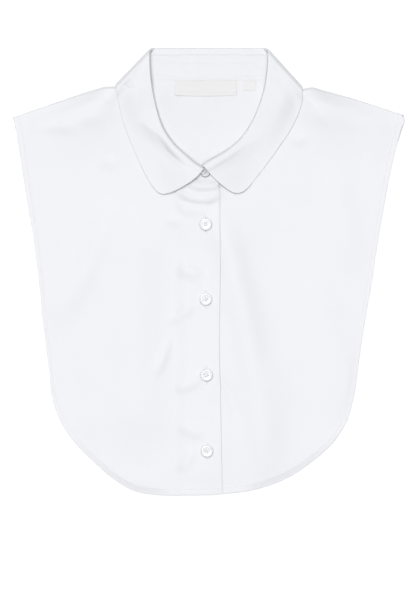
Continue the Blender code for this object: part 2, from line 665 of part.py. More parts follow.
def leaf_front_column(side, line, share, top_parts, away):
    """Points down one column of the leaf in front of the side fold."""
    run = np.concatenate([[0.0], np.cumsum(np.linalg.norm(np.diff(line, axis=0), axis=1))])

    def plan_at(width):
        inside = np.stack([np.interp(width, run, line[:, axis]) for axis in (0, 1)], axis=-1)
        before = (line[1] - line[0]) / run[1]
        return inside + np.minimum(width, 0.0)[:, None] * before

    near = plan_at(np.array([ROLL_NEAR]))
    x_near = side["sign"] * near[:, 0]
    low = 0.5 * WALL + (float(lap_rise(x_near)[0]) if side["sign"] < 0 else 0.0)
    high = LEAF_OVER + 0.5 * WALL + float(leaf_rise(side, x_near, near[:, 1])[0])
    late = float(ease((share - LIP_NARROWS) / (1.0 - LIP_NARROWS)))
    lip = LIP_WIDTH + (LIP_FRONT - LIP_WIDTH) * late
    section = leaf_section(low, high, math.pi * (1.0 - ROLL_OPENS * late), lip)
    width, depth = leaf_column(section, run[-1], top_parts, away)
    plan = plan_at(width)
    x = side["sign"] * plan[:, 0]
    z = neck_height(side, plan[:, 0], plan[:, 1]) + depth
    first_top = len(width) - len(top_parts)
    change = leaf_rise(side, x, plan[:, 1]) - (high - LEAF_OVER - 0.5 * WALL)
    z[first_top:] += change[first_top:]
    return np.column_stack([x, plan[:, 1], z])


def add_label(name, table, material):
    """A flat tab from the back neck seam down over the inside of the back panel."""
    left, right, low, bow = table
    neck_y = ROLL_BACK_Y - STAND_WIDTH - SEAM_GAP
    top_y = neck_y - LABEL_TUCK
    xs = np.linspace(left, right, LABEL_COLUMNS + 1)
    spread = (xs - left) / (right - left)
    rows = []
    for part in np.linspace(0.0, 1.0, LABEL_ROWS + 1):
        y = top_y + (low - bow * 4 * spread * (1 - spread) - top_y) * part
        z = panel_back_height(neck_y - y) + LABEL_OVER
        rows.append(np.column_stack([xs, y, z]))
    inner = np.array(rows)
    add_wall(name, inner, inner + [0.0, 0.0, WALL], material)


def cloth_top(x, y):
    """Height of the upper side of the right front on the lapped strip."""
    z = panel_front_height(SIDES["left"], -x, y, strip_neck(x) - SEAM_GAP - y)
    return z + lap_rise(x) + WALL


def add_button(name, place, material):
    """A turned button with a raised rim and a dished middle, lying on the cloth under it."""
    x, y, radius = place
    around = np.linspace(0.0, 2 * math.pi, BUTTON_SIDES, endpoint=False)
    circle = np.stack([np.cos(around), np.sin(around)], axis=-1)
    if name == "stand_button":
        below = neck_height(SIDES["left"], -x, y) + LAP + WALL
    else:
        spot = np.array([x, y]) + radius * circle
        below = cloth_top(spot[:, 0], spot[:, 1]).max()
    base = float(below) + SEAM_GAP
    rings = [np.column_stack([x + radius * r * circle[:, 0], y + radius * r * circle[:, 1],
                              np.full(BUTTON_SIDES, base + BUTTON_HEIGHT * h)])
             for r, h in BUTTON_PROFILE]
    points = np.concatenate(rings)
    faces = [list(range(BUTTON_SIDES))[::-1]]
    for ring in range(len(BUTTON_PROFILE) - 1):
        for k in range(BUTTON_SIDES):
            after = (k + 1) % BUTTON_SIDES
            low = ring * BUTTON_SIDES
            high = low + BUTTON_SIDES
            faces.append([low + k, low + after, high + after, high + k])
    last = (len(BUTTON_PROFILE) - 1) * BUTTON_SIDES
    faces.append(list(range(last, last + BUTTON_SIDES)))
    add_mesh(name, points, faces, material)


def make_material(name, colour, roughness):
    material = bpy.data.materials.new(name)
    material.use_nodes = True
    shader = material.node_tree.nodes["Principled BSDF"]
    shader.inputs["Base Color"].default_value = (*colour, 1.0)
    shader.inputs["Roughness"].default_value = roughness
    shader.inputs["Metallic"].default_value = 0.0
    return material


for old in list(bpy.data.objects):
    bpy.data.objects.remove(old, do_unlink=True)

cotton = make_material("white_cotton", (0.88, 0.89, 0.91), 0.7)
tape = make_material("label_tape", (0.80, 0.80, 0.80), 0.6)
pearl = make_material("pearl_button", (0.86, 0.87, 0.88), 0.25)

add_back(cotton)
add_fronts(cotton)
join_halves("collar_stand", stand_half(SIDES["left"]), stand_half(SIDES["right"]), cotton)
join_halves("collar_leaf", leaf_half(SIDES["left"]), leaf_half(SIDES["right"]), cotton)
add_label("neck_label", NECK_LABEL, tape)
add_label("size_label", SIZE_LABEL, tape)
for button_name, button_place in BUTTONS.items():
    add_button(button_name, button_place, pearl)
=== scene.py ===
import json
import math

import bpy
import numpy as np
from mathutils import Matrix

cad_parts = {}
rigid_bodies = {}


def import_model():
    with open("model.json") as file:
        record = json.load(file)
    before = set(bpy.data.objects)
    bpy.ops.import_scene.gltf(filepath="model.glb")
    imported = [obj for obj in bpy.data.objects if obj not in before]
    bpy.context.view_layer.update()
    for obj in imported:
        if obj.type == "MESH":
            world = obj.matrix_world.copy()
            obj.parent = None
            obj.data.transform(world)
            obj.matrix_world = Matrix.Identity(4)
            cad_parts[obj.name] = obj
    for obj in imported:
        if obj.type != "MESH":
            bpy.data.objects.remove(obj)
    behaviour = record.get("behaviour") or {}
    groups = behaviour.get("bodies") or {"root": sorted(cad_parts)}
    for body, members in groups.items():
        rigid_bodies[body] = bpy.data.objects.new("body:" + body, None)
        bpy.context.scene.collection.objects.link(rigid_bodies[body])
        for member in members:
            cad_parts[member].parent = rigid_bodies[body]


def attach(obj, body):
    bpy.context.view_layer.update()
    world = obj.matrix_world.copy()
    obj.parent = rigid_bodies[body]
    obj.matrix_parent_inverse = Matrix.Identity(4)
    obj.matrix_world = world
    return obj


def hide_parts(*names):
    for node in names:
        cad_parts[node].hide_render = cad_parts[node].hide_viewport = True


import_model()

for stray in [o for o in bpy.data.objects if o.name in ("Cube", "Light", "Camera")]:
    bpy.data.objects.remove(stray, do_unlink=True)
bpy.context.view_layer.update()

# The table and the light
# The collar lies on its back on a white table, under a broad soft light at the upper left
# and a white room. The camera looks straight down.
TABLE_SIZE = 3.0
TABLE_Z = -0.0002                # just below the underside of the cloth
TABLE_PAINT = (0.30, 0.30, 0.30, 1.0)
TABLE_GLOW = 0.74                # light of the table itself, which takes up the shadows on it
ROOM_STRENGTH = 0.31
# Two soft lights: name, strength, degrees across, direction towards the light
SOFTBOXES = [
    ("upper_left_softbox", 1.61, 40.0, (-0.18, 0.36, 1.0)),
    ("overhead_softbox", 1.00, 50.0, (0.0, 0.0, 1.0)),
]
CAMERA_AT = (-0.0002, -0.0266, 4.0)
CAMERA_SPAN = 0.564              # metres of the table from the lower to the upper edge of the view


def fill(tree, node, inputs):
    """Sets a node's inputs, each to a value or joined to another node's output."""
    for socket, value in inputs.items():
        if isinstance(value, bpy.types.NodeSocket):
            tree.links.new(value, node.inputs[socket])
        else:
            node.inputs[socket].default_value = value
    return node


def new_node(tree, kind, inputs):
    """A new node with its inputs set."""
    return fill(tree, tree.nodes.new("ShaderNode" + kind), inputs)


def start_material(name, values):
    """A new material, its node tree and its shader, with the values on the shader's own sockets."""
    material = bpy.data.materials.new(name)
    material.use_nodes = True
    tree = material.node_tree
    return material, tree, fill(tree, tree.nodes["Principled BSDF"], values)


table_mesh = bpy.data.meshes.new("table_top")
reach = 0.5 * TABLE_SIZE
table_mesh.from_pydata([(-reach, -reach, TABLE_Z), (reach, -reach, TABLE_Z),
                        (reach, reach, TABLE_Z), (-reach, reach, TABLE_Z)], [], [(0, 1, 2, 3)])
table_top = bpy.data.objects.new("table_top", table_mesh)
bpy.context.collection.objects.link(table_top)
table_paint = start_material("table_paint", {
    "Base Color": TABLE_PAINT, "Roughness": 0.9, "Specular IOR Level": 0.0,
    "Emission Color": (1.0, 1.0, 1.0, 1.0), "Emission Strength": TABLE_GLOW})[0]
table_mesh.materials.append(table_paint)

room = bpy.data.worlds.new("room")
room.use_nodes = True
room.node_tree.nodes["Background"].inputs["Color"].default_value = (1.0, 1.0, 1.0, 1.0)
room.node_tree.nodes["Background"].inputs["Strength"].default_value = ROOM_STRENGTH
bpy.context.scene.world = room

for light_name, strength, across, towards in SOFTBOXES:
    light_data = bpy.data.lights.new(light_name, "SUN")
    light_data.energy = strength
    light_data.angle = math.radians(across)
    softbox = bpy.data.objects.new(light_name, light_data)
    tilt = math.atan2(math.hypot(towards[0], towards[1]), towards[2])
    softbox.rotation_euler = (tilt, 0.0, math.atan2(towards[0], -towards[1]))
    bpy.context.collection.objects.link(softbox)

camera_data = bpy.data.cameras.new("overhead")
camera_data.sensor_fit = "VERTICAL"
camera_data.angle_y = 2.0 * math.atan(0.5 * CAMERA_SPAN / CAMERA_AT[2])
overhead = bpy.data.objects.new("overhead", camera_data)
overhead.location = CAMERA_AT
bpy.context.collection.objects.link(overhead)
bpy.context.scene.camera = overhead
bpy.context.scene.view_settings.view_transform = "Standard"
bpy.context.scene.view_settings.look = "None"

# The back panel
# One layer of white cotton satin, hemmed all round, lies under everything else. Its inside
# shows in the neck opening, and it peeps out past the right shoulder.
MM = 0.001
WALL = 1.0                # the solids' wall: the cloth's upper side lies on its upper side
CLOTH = 0.34              # thickness of one layer of cloth
JOIN = 0.03               # gap that is left between two pieces at a seam
NECK_ROUND = 0.04         # rounding of the edges that meet at the neck seam
FRONT_REST = 1.6          # height of the underside of the fronts where they lie flat
BACK_REST = 1.0           # height of the inside of the back panel where it lies flat
BEND_INNER = 2.0          # radius of the inside of the stand in the collar's side fold
BEND_MIDDLE = 3.3         # radius at which the cloth keeps its length round that fold
BEND_AXIS = 4.6           # height of the fold's axis
FRONT_RISE = BEND_AXIS + BEND_INNER - FRONT_REST
BACK_RISE = 1.6           # rise of the back panel at the neck seam
BACK_HOLD = 9.0           # length that keeps it
BACK_FALL = 45.0          # length over which it then fades
RISE_FALL = 85.0          # the same for the fronts, from the neck seam
ROLL_BACK_Y = 210.3       # y of the collar's roll behind the neck
STAND_WIDTH = 30.3        # from the roll to the neck seam
HEM_Y = -210.0            # y of the lower edge
BACK_INSET = 0.8          # how far the back panel lies inside the outline of the fronts
SHOULDER_START = 1 / 18   # share of the shoulder taken by the turn round the collar's fold
HEM = 6.0                 # width of the hem round the side and lower edges
HEM_STEP = 0.11           # rise of the upper side over the turned-in cloth
HEM_DIP = 0.09            # depth of the groove that its stitches pull in
HEM_PUCKER = 0.10         # height of the small waves along it
# Distances from a seam and from a hemmed edge at which the cloth has a line of points
SEAM_STEPS = np.array([0.0, 0.04, 0.1, 0.17, 0.4, 1.0, 2.0])
HEM_STEPS = np.array([0.0, 0.05, 0.16, 0.34, 0.6, 1.2, 2.0, 3.0, 3.9,
                      4.5, 4.9, 5.2, 5.5, 5.9, 6.3, 6.8, 7.8])
# The two sides of the garment. Every line is given as (distance out from the middle, y):
# corner_out and crease_angle place the side fold of the collar, shoulder runs from the neck to
# the tip, outline from the tip to the middle of the lower edge and roll along the collar's roll.
# peek is how far the back panel shows past the front, fall_power how fast the fold flattens.
SIDES = {
    "left": {
        "sign": -1.0,
        "corner_out": 55.4,
        "crease_angle": 46.0,
        "shoulder": [(87.8, 173.9), (97.5, 173.6), (109.7, 170.3), (131.4, 163.2), (184.0, 144.9)],
        "outline": [(181.2, 133.2), (176.5, 105.0), (170.8, 67.4), (164.3, 29.8), (159.6, -7.8),
                    (155.8, -45.4), (151.1, -83.0), (146.4, -120.6), (139.8, -139.4),
                    (127.6, -158.2), (109.7, -177.0), (88.1, -195.8), (72.1, -205.2),
                    (46.0, HEM_Y)],
        "roll": [(55.2, 199.0), (54.5, 186.5), (52.1, 169.2), (48.2, 152.0), (42.7, 136.3),
                 (33.3, 122.2), (22.3, 111.3), (11.3, 101.9), (3.9, 97.0)],
        "peek": 0.0,
        "fall_power": 3.0,
    },
    "right": {
        "sign": 1.0,
        "corner_out": 56.0,
        "crease_angle": 47.9,
        "shoulder": [(88.1, 171.5), (97.0, 173.2), (108.3, 170.2), (133.7, 163.2), (182.4, 147.4)],
        "outline": [(183.6, 144.4), (180.7, 133.2), (173.2, 105.0), (165.7, 67.4), (159.1, 29.8),
                    (153.5, -7.8), (146.9, -45.4), (141.2, -83.0), (135.6, -120.6),
                    (130.0, -139.4), (118.7, -158.2), (98.9, -177.0), (69.8, -195.8),
                    (41.6, -205.2)],
        "roll": [(54.8, 191.2), (52.9, 177.1), (48.2, 159.8), (42.7, 145.7), (35.7, 133.2),
                 (26.3, 122.2), (13.7, 112.8), (4.3, 107.4), (-3.5, 102.7), (-7.0, 100.9)],
        "peek": 1.4,
        "fall_power": 4.0,
    },
}
NECK_REACH = 70.0         # length over which the rise at the side fold fades to the front
NECK_LOW = 0.2            # share of it that stays
STITCH = 2.1              # length of a stitch
STITCH_PITCH = 2.7        # from one stitch to the next
STITCH_HALF = 0.13        # radius of its thread
HEM_STITCH = 5.2          # distance of the hem's stitches from the edge
NECK_RISE = 1.45          # rise of the back panel below the collar's roll
NECK_RISE_SIDE = 0.28     # share of the height of the side fold that adds to it
NECK_RISE_RUN = 22.0      # reach of that rise from the roll
CREASE_FADE = 0.45        # share of a crease's length over which it fades at either end
CREASE_FADE_MOST = 60.0
SWELLS = 14               # number of the small swells that make cloth uneven
TURN_BLEND = 0.85         # how early the painted shade begins as the cloth turns away
TURN_MOST = 0.30          # how much of the painted shade it takes at most
TURN_PAINTED_SHADE = 0.55         # the painted shade's colour, as a share of the white
# Creases of the back panel: start x, y, end x, y, bow to the left, half width, height
BACK_CREASES = [
    (-40.0, 160.0, -6.0, 112.0, 4.0, 9.0, -0.5),
    (34.0, 150.0, 8.0, 108.0, -5.0, 10.0, 0.5),
    (-20.0, 150.0, 0.0, 104.0, -3.0, 8.0, 0.4),
    (-120.0, 60.0, -70.0, -120.0, 10.0, 16.0, -0.35),
    (100.0, 40.0, 60.0, -140.0, -12.0, 18.0, -0.35),
    (-10.0, 60.0, 6.0, -150.0, 8.0, 20.0, -0.35),
]


def ease(value):
    """A ramp from 0 to 1 with level ends."""
    held = np.clip(value, 0.0, 1.0)
    return held * held * (3.0 - 2.0 * held)


def run_along(grid, axis):
    """Length along the rows or columns of a grid, or along a line, from its first point."""
    step = np.linalg.norm(np.diff(grid, axis=axis), axis=-1)
    start = np.zeros_like(np.take(step, [0], axis=axis))
    return np.concatenate([start, np.cumsum(step, axis=axis)], axis=axis)


def run_back(grid, axis):
    """The same length from the last point."""
    return np.flip(run_along(np.flip(grid, axis), axis), axis)


def from_ends(grid, axis):
    """The same length from the nearer end."""
    return np.minimum(run_along(grid, axis), run_back(grid, axis))


def at_run(run, line, wanted):
    """Points of a line at wanted lengths, where run holds the length at each of its own points."""
    return np.stack([np.interp(wanted, run, line[:, axis]) for axis in range(line.shape[1])], axis=-1)


def curve(points, shares):
    """A smooth curve through the points, read at shares of its length.

    Each stretch is a cubic whose end slopes are those of the line between its neighbours.
    """
    points = np.asarray(points, float)
    knots = run_along(points, 0)
    slopes = np.gradient(points, knots, axis=0)
    fine = np.linspace(0.0, knots[-1], 60 * len(points))
    cell = np.clip(np.searchsorted(knots, fine, side="right") - 1, 0, len(knots) - 2)
    width = (knots[cell + 1] - knots[cell])[:, None]
    part = (fine[:, None] - knots[cell][:, None]) / width
    line = ((2 * part**3 - 3 * part**2 + 1) * points[cell]
            + (part**3 - 2 * part**2 + part) * width * slopes[cell]
            + (3 * part**2 - 2 * part**3) * points[cell + 1]
            + (part**3 - part**2) * width * slopes[cell + 1])
    run = run_along(line, 0)
    return at_run(run, line, np.asarray(shares, float) * run[-1])


def read(line, shares):
    """Points at shares of a line that is given at even shares, for any shape of shares."""
    return at_run(np.linspace(0.0, 1.0, len(line)), line, shares)


def patch(first, last, start, end, down, across):
    """A Coons patch whose columns may sit at other shares in each row.

    first and last are the lines of the first and last rows at even shares, start and end the
    points of the first and last columns, and across holds a share for each row and column.
    """
    d = np.asarray(down)[:, None, None]
    a = across[..., None]
    ruled = (1 - d) * read(first, across) + d * read(last, across)
    crossed = (1 - a) * start[:, None] + a * end[:, None]
    corners = ((1 - d) * (1 - a) * first[0] + (1 - d) * a * first[-1]
               + d * (1 - a) * last[0] + d * a * last[-1])
    return ruled + crossed - corners


def hemmed_shares(start, end, count):
    """Shares across each row: at the seam's steps, then even, then at the hem's own steps."""
    length = np.linalg.norm(end - start, axis=1)[:, None]
    seam = SEAM_STEPS[None] / length
    hem = 1.0 - HEM_STEPS[None, ::-1] / length
    even = seam[:, -1:] + np.linspace(0.0, 1.0, count + 1)[None, 1:-1] * (hem[:, :1] - seam[:, -1:])
    return np.concatenate([seam, even, hem], axis=1)


def bend_place(side, step, width, depth):
    """A point of the collar in its side fold, from its place on the flat collar.

    step is the length along the fold line past the corner, width the distance from that line
    and depth the distance above the inside of the stand.
    """
    angle = math.radians(side["crease_angle"])
    along = step * math.cos(angle) + width / math.sin(angle)
    across = step * math.sin(angle)
    half = 0.5 * math.pi * BEND_MIDDLE
    turn = np.clip((across + half) / BEND_MIDDLE, 0.0, math.pi)
    radius = BEND_INNER + depth
    outward = np.where(across < -half, across, np.where(across > half, -across, -half))
    outward = outward + radius * np.sin(turn)
    z = BEND_AXIS - radius * np.cos(turn)
    out = side["corner_out"] + along * math.cos(angle) + outward * math.sin(angle)
    y = ROLL_BACK_Y - along * math.sin(angle) + outward * math.cos(angle)
    return np.stack(np.broadcast_arrays(side["sign"] * out, y, z), axis=-1)


def bend_step(side):
    """Length along the fold line from the corner to either end of the side fold."""
    return 0.5 * math.pi * BEND_MIDDLE / math.sin(math.radians(side["crease_angle"]))


def bend_end(side, width):
    """The (out, y) point where the side fold ends, at a distance from the fold line."""
    point = bend_place(side, bend_step(side), width, 0.0)
    return (side["sign"] * point[0], point[1])


def panel_back_height(distance):
    """Height of the inside of the back panel, at a distance from the neck seam."""
    return BACK_REST + BACK_RISE * (1.0 - ease((distance - BACK_HOLD) / BACK_FALL))


def shoulder_turn(side, front, parts, shares):
    """The rolled shoulder edge of a panel at mid-cloth, from the seam (part 0) to the flat cloth.

    Rows go round it and columns run from the neck out to the tip. Next to the neck it takes
    over from the turn round the collar's own fold.
    """
    line = curve(side["shoulder"], np.clip((shares - SHOULDER_START) / (1.0 - SHOULDER_START), 0.0, 1.0))
    if not front:
        line = line - [0.0, BACK_INSET * 0.5] + np.outer(ease(shares * 4 - 3), [side["peek"], 0])
    before = np.clip(shares, SHOULDER_START + 0.002, 1.0)
    tangent = np.array([np.gradient(line[:, axis], before) for axis in (0, 1)]).T
    tangent[shares <= SHOULDER_START + 0.02] = tangent[np.searchsorted(shares, SHOULDER_START + 0.02)]
    tangent /= np.linalg.norm(tangent, axis=1, keepdims=True)
    inward = np.stack([tangent[:, 1], -tangent[:, 0]], axis=1)
    distance = np.hypot(*(line - bend_end(side, STAND_WIDTH)).T)
    top = FRONT_REST + FRONT_RISE * (1.0 - ease(distance / RISE_FALL))
    bottom = panel_back_height(distance)
    radius = 0.5 * (top - bottom)
    depth = WALL - 0.5 * CLOTH
    start = 0.5 * JOIN / radius
    turn = start + (0.5 * math.pi - start) * parts[:, None]
    move = (radius + WALL) - (radius + depth) * np.cos(turn)
    place = line[None] + inward[None] * move[..., None]
    rise = (radius + depth) * np.sin(turn)
    axis = 0.5 * (top + bottom)
    z = axis + rise if front else axis - rise
    rolled = np.dstack([side["sign"] * place[..., 0], place[..., 1], z])
    gap = 0.5 * JOIN / BEND_INNER
    angle = gap + (0.5 * math.pi - gap) * parts[:, None]
    step = angle * BEND_MIDDLE / math.sin(math.radians(side["crease_angle"]))
    neck = bend_place(side, step if front else -step, STAND_WIDTH + JOIN, depth)
    near = np.clip(1.0 - shares / SHOULDER_START, 0.0, 1.0)[None, :, None]
    return rolled * (1.0 - near) + neck * near


def creases(x, y, table):
    """Soft ridges and troughs. Each is a bell across a bowed line that fades out at its ends."""
    height = np.zeros_like(x)
    for x0, y0, x1, y1, bow, half_width, rise in table:
        length = math.hypot(x1 - x0, y1 - y0)
        along = ((x - x0) * (x1 - x0) + (y - y0) * (y1 - y0)) / length
        beside = ((x - x0) * (y1 - y0) - (y - y0) * (x1 - x0)) / length
        part = along / length
        beside = beside + bow * 4.0 * part * (1.0 - part)
        fade = max(min(CREASE_FADE * length, CREASE_FADE_MOST), 2.0 * half_width)
        ends = ease((along + 0.5 * fade) / fade) * ease((length + 0.5 * fade - along) / fade)
        height += rise * ends * np.exp(-(beside / half_width) ** 2)
    return height


def unevenness(x, y, seed, wave):
    """Small irregular swells of cloth that has been pressed and laid down by hand."""
    chance = np.random.default_rng(seed)
    height = np.zeros_like(x)
    for _ in range(SWELLS):
        heading = chance.uniform(0.0, 2.0 * math.pi)
        length = wave * chance.uniform(0.6, 1.9)
        phase = chance.uniform(0.0, 2.0 * math.pi)
        run = (x * math.cos(heading) + y * math.sin(heading)) / length
        height += np.sin(2.0 * math.pi * run + phase) * (length / wave) / SWELLS
    return height


def normals(grid):
    """Unit normals of a grid, looking up."""
    normal = np.cross(np.gradient(grid, axis=0), np.gradient(grid, axis=1))
    normal /= np.maximum(np.linalg.norm(normal, axis=-1, keepdims=True), 1e-9)
    return normal


def edge_half(distance, half, round_off=None):
    """Half the thickness at a distance from an edge, which is half round or has small rounded rims."""
    radius = half if round_off is None else round_off
    part = np.clip(distance / radius, 0.0, 1.0)
    return half - radius + radius * np.maximum(np.sqrt(1.0 - (1.0 - part) ** 2), 0.22)


def half_inside(half, *edges):
    """Half the thickness inside several edges, each a distance alone or with its own rounding."""
    halves = [edge_half(edge[0], half, edge[1]) if isinstance(edge, tuple) else edge_half(edge, half)
              for edge in edges]
    return np.minimum.reduce(halves)[..., None]


def height_over(points, x, y):
    """Height of a cloth's upper side at any places, weighed from its nearest points."""
    found = np.empty(x.shape)
    flat_x, flat_y, out = x.ravel(), y.ravel(), found.reshape(-1)
    for start in range(0, len(flat_x), 400):
        part = slice(start, start + 400)
        gap = (flat_x[part, None] - points[:, 0]) ** 2 + (flat_y[part, None] - points[:, 1]) ** 2
        near = np.argpartition(gap, 4, axis=1)[:, :4]
        weight = 1.0 / (np.take_along_axis(gap, near, axis=1) + 0.02)
        out[part] = (weight * points[:, 2][near]).sum(axis=1) / weight.sum(axis=1)
    return found


def top_points(piece):
    """The points of a cloth's upper side, in millimetres."""
    count = len(piece.data.vertices)
    points = np.empty(count * 3)
    piece.data.vertices.foreach_get("co", points)
    return points.reshape(-1, 3)[count // 2:] / MM


def add_mesh(name, points, quads, triangles, material):
    """One object from points in millimetres and faces of four and three corners."""
    mesh = bpy.data.meshes.new(name)
    corners = np.concatenate([np.asarray(quads, int).ravel(), np.asarray(triangles, int).ravel()])
    starts = np.concatenate([np.arange(len(quads)) * 4, len(quads) * 4 + np.arange(len(triangles)) * 3])
    mesh.vertices.add(len(points))
    mesh.vertices.foreach_set("co", (np.asarray(points, float) * MM).ravel())
    mesh.loops.add(len(corners))
    mesh.loops.foreach_set("vertex_index", corners)
    mesh.polygons.add(len(starts))
    mesh.polygons.foreach_set("loop_start", starts)
    mesh.update(calc_edges=True)
    mesh.shade_smooth()
    mesh.materials.append(material)
    piece = bpy.data.objects.new(name, mesh)
    bpy.context.collection.objects.link(piece)
    return piece


def add_cloth(name, upper, lower, flat, material):
    """One closed thin shell between two grids, with the flat cloth's own coordinates on it."""
    rows, columns = upper.shape[:2]
    points = np.concatenate([lower.reshape(-1, 3), upper.reshape(-1, 3)])
    below = np.arange(rows * columns).reshape(rows, columns)
    above = below + rows * columns
    rim = np.concatenate([below[:-1, 0], below[-1, :-1], below[:0:-1, -1], below[0, :0:-1]])
    after = np.roll(rim, -1)
    faces = np.concatenate([
        np.stack([above[:-1, :-1], above[1:, :-1], above[1:, 1:], above[:-1, 1:]], -1).reshape(-1, 4),
        np.stack([below[:-1, :-1], below[:-1, 1:], below[1:, 1:], below[1:, :-1]], -1).reshape(-1, 4),
        np.stack([rim, after, after + rows * columns, rim + rows * columns], -1),
    ])
    first, second, third, fourth = np.moveaxis(points[faces], 1, 0)
    volume = (first * (np.cross(second, third) + np.cross(third, fourth))).sum()
    piece = add_mesh(name, points, faces if volume >= 0 else faces[:, ::-1], [], material)
    cloth_place = piece.data.attributes.new("cloth_place", "FLOAT_VECTOR", "POINT")
    spread = np.dstack([flat, np.zeros(flat.shape[:2])]).reshape(-1, 3)
    cloth_place.data.foreach_set("vector", np.concatenate([spread, spread]).ravel())
    return piece


def hem_form(distance, along):
    """Lift of the upper side over a hem: its step, the dip of its stitches and its puckers."""
    step = HEM_STEP * (1.0 - ease((distance - HEM + 0.2) / 0.9))
    dip = -HEM_DIP * np.exp(-((distance - HEM + 0.9) / 0.45) ** 2)
    waves = np.sin(along / 1.9 + 1.7 * np.sin(along / 17.0)) * (0.4 + 0.6 * np.sin(along / 41.0) ** 2)
    return step + dip + HEM_PUCKER * waves * np.exp(-((distance - 4.5) / 3.5) ** 2)


def add_bump(tree, shader, height, strength, depth):
    """Fine relief on a shader, from a height of 0 to 1 that stands for a depth in metres."""
    bump = new_node(tree, "Bump", {"Strength": strength, "Distance": depth, "Height": height})
    fill(tree, shader, {"Normal": bump.outputs["Normal"]})


def make_weave():
    """Height of woven satin: even lines of yarn plus a cloudy noise for its thick and thin places."""
    weave = bpy.data.node_groups.new("satin_weave", "ShaderNodeTree")
    weave.interface.new_socket("Place", in_out="INPUT", socket_type="NodeSocketVector")
    weave.interface.new_socket("Yarn Scale", in_out="INPUT", socket_type="NodeSocketFloat")
    weave.interface.new_socket("Slub Scale", in_out="INPUT", socket_type="NodeSocketFloat")
    weave.interface.new_socket("Height", in_out="OUTPUT", socket_type="NodeSocketFloat")
    given = weave.nodes.new("NodeGroupInput").outputs
    yarn = new_node(weave, "TexWave", {
        "Scale": given["Yarn Scale"], "Distortion": 0.6, "Vector": given["Place"]})
    slub = new_node(weave, "TexNoise", {
        "Scale": given["Slub Scale"], "Detail": 4.0, "Vector": given["Place"]})
    total = new_node(weave, "Math", {0: yarn.outputs["Fac"], 1: slub.outputs["Fac"]})
    total.operation = "ADD"
    fill(weave, weave.nodes.new("NodeGroupOutput"), {"Height": total.outputs[0]})
    return weave


satin_weave = make_weave()


def make_cotton(name, colour):
    """White cotton satin with a soft sheen and fine yarn, and painted shade: its colour darkens where it
    turns away from view.
    """
    material, tree, shader = start_material(name, {
        "Roughness": 0.52, "Specular IOR Level": 0.32, "Sheen Weight": 0.12, "Sheen Roughness": 0.45})
    # Painted shade: the colour is mixed towards a darker copy of itself as the cloth turns from view,
    # standing in for the light and sheen that fall off there
    turned = new_node(tree, "LayerWeight", {"Blend": TURN_BLEND})
    share = new_node(tree, "Math", {0: turned.outputs["Facing"], 1: TURN_MOST})
    share.operation = "MINIMUM"
    painted_shade = tree.nodes.new("ShaderNodeMix")
    painted_shade.data_type = "RGBA"
    fill(tree, painted_shade, {"Factor": share.outputs[0], "A": (*colour, 1.0),
                        "B": (*[TURN_PAINTED_SHADE * part for part in colour], 1.0)})
    fill(tree, shader, {"Base Color": painted_shade.outputs["Result"]})
    place = tree.nodes.new("ShaderNodeAttribute")
    place.attribute_name = "cloth_place"
    weave = tree.nodes.new("ShaderNodeGroup")
    weave.node_tree = satin_weave
    fill(tree, weave, {"Place": place.outputs["Vector"], "Yarn Scale": 0.9, "Slub Scale": 1.3})
    add_bump(tree, shader, weave.outputs["Height"], 0.25, 0.00005)
    return material


def away_from_crease(side, out, y):
    """How far a point lies inside the side fold of the neck, square to its crease."""
    angle = math.radians(side["crease_angle"])
    outward = (out - side["corner_out"]) * math.sin(angle) + (y - ROLL_BACK_Y) * math.cos(angle)
    return -outward - 0.5 * math.pi * BEND_MIDDLE


def neck_height(side, out, y):
    """Height of the inside of the stand in front of the side fold, falling to the front."""
    far = np.clip(away_from_crease(side, out, y) / NECK_REACH, 0.0, 1.0)
    left = NECK_LOW + (1.0 - NECK_LOW) * (1.0 - far) ** side["fall_power"]
    return FRONT_REST + FRONT_RISE * left


def make_thread(name, colour):
    """Twisted sewing thread: fine slanting ridges."""
    material, tree, shader = start_material(name, {"Base Color": (*colour, 1.0), "Roughness": 0.5})
    place = tree.nodes.new("ShaderNodeTexCoord")
    twist = new_node(tree, "TexWave", {"Scale": 1400.0, "Vector": place.outputs["Object"]})
    twist.bands_direction = "DIAGONAL"
    add_bump(tree, shader, twist.outputs["Fac"], 0.4, 0.00004)
    return material


def rings_to_faces(rings, around, count, ends):
    """Quads between rings of points, for a number of equal bodies, and fans at the two ends.

    Each body holds its rings first, then its two end points.
    """
    k = np.arange(around)
    after = (k + 1) % around
    low = (np.arange(rings - 1) * around)[:, None]
    quads = np.stack([low + k, low + after, low + after + around, low + k + around], -1).reshape(-1, 4)
    fans = np.zeros((0, 3), int)
    if ends:
        first, last = rings * around, rings * around + 1
        top = (rings - 1) * around
        fans = np.concatenate([np.stack([after, k, np.full(around, first)], -1),
                               np.stack([top + k, top + after, np.full(around, last)], -1)])
    size = rings * around + (2 if ends else 0)
    shift = (np.arange(count) * size)[:, None, None]
    return (quads[None] + shift).reshape(-1, 4), (fans[None] + shift).reshape(-1, 3)


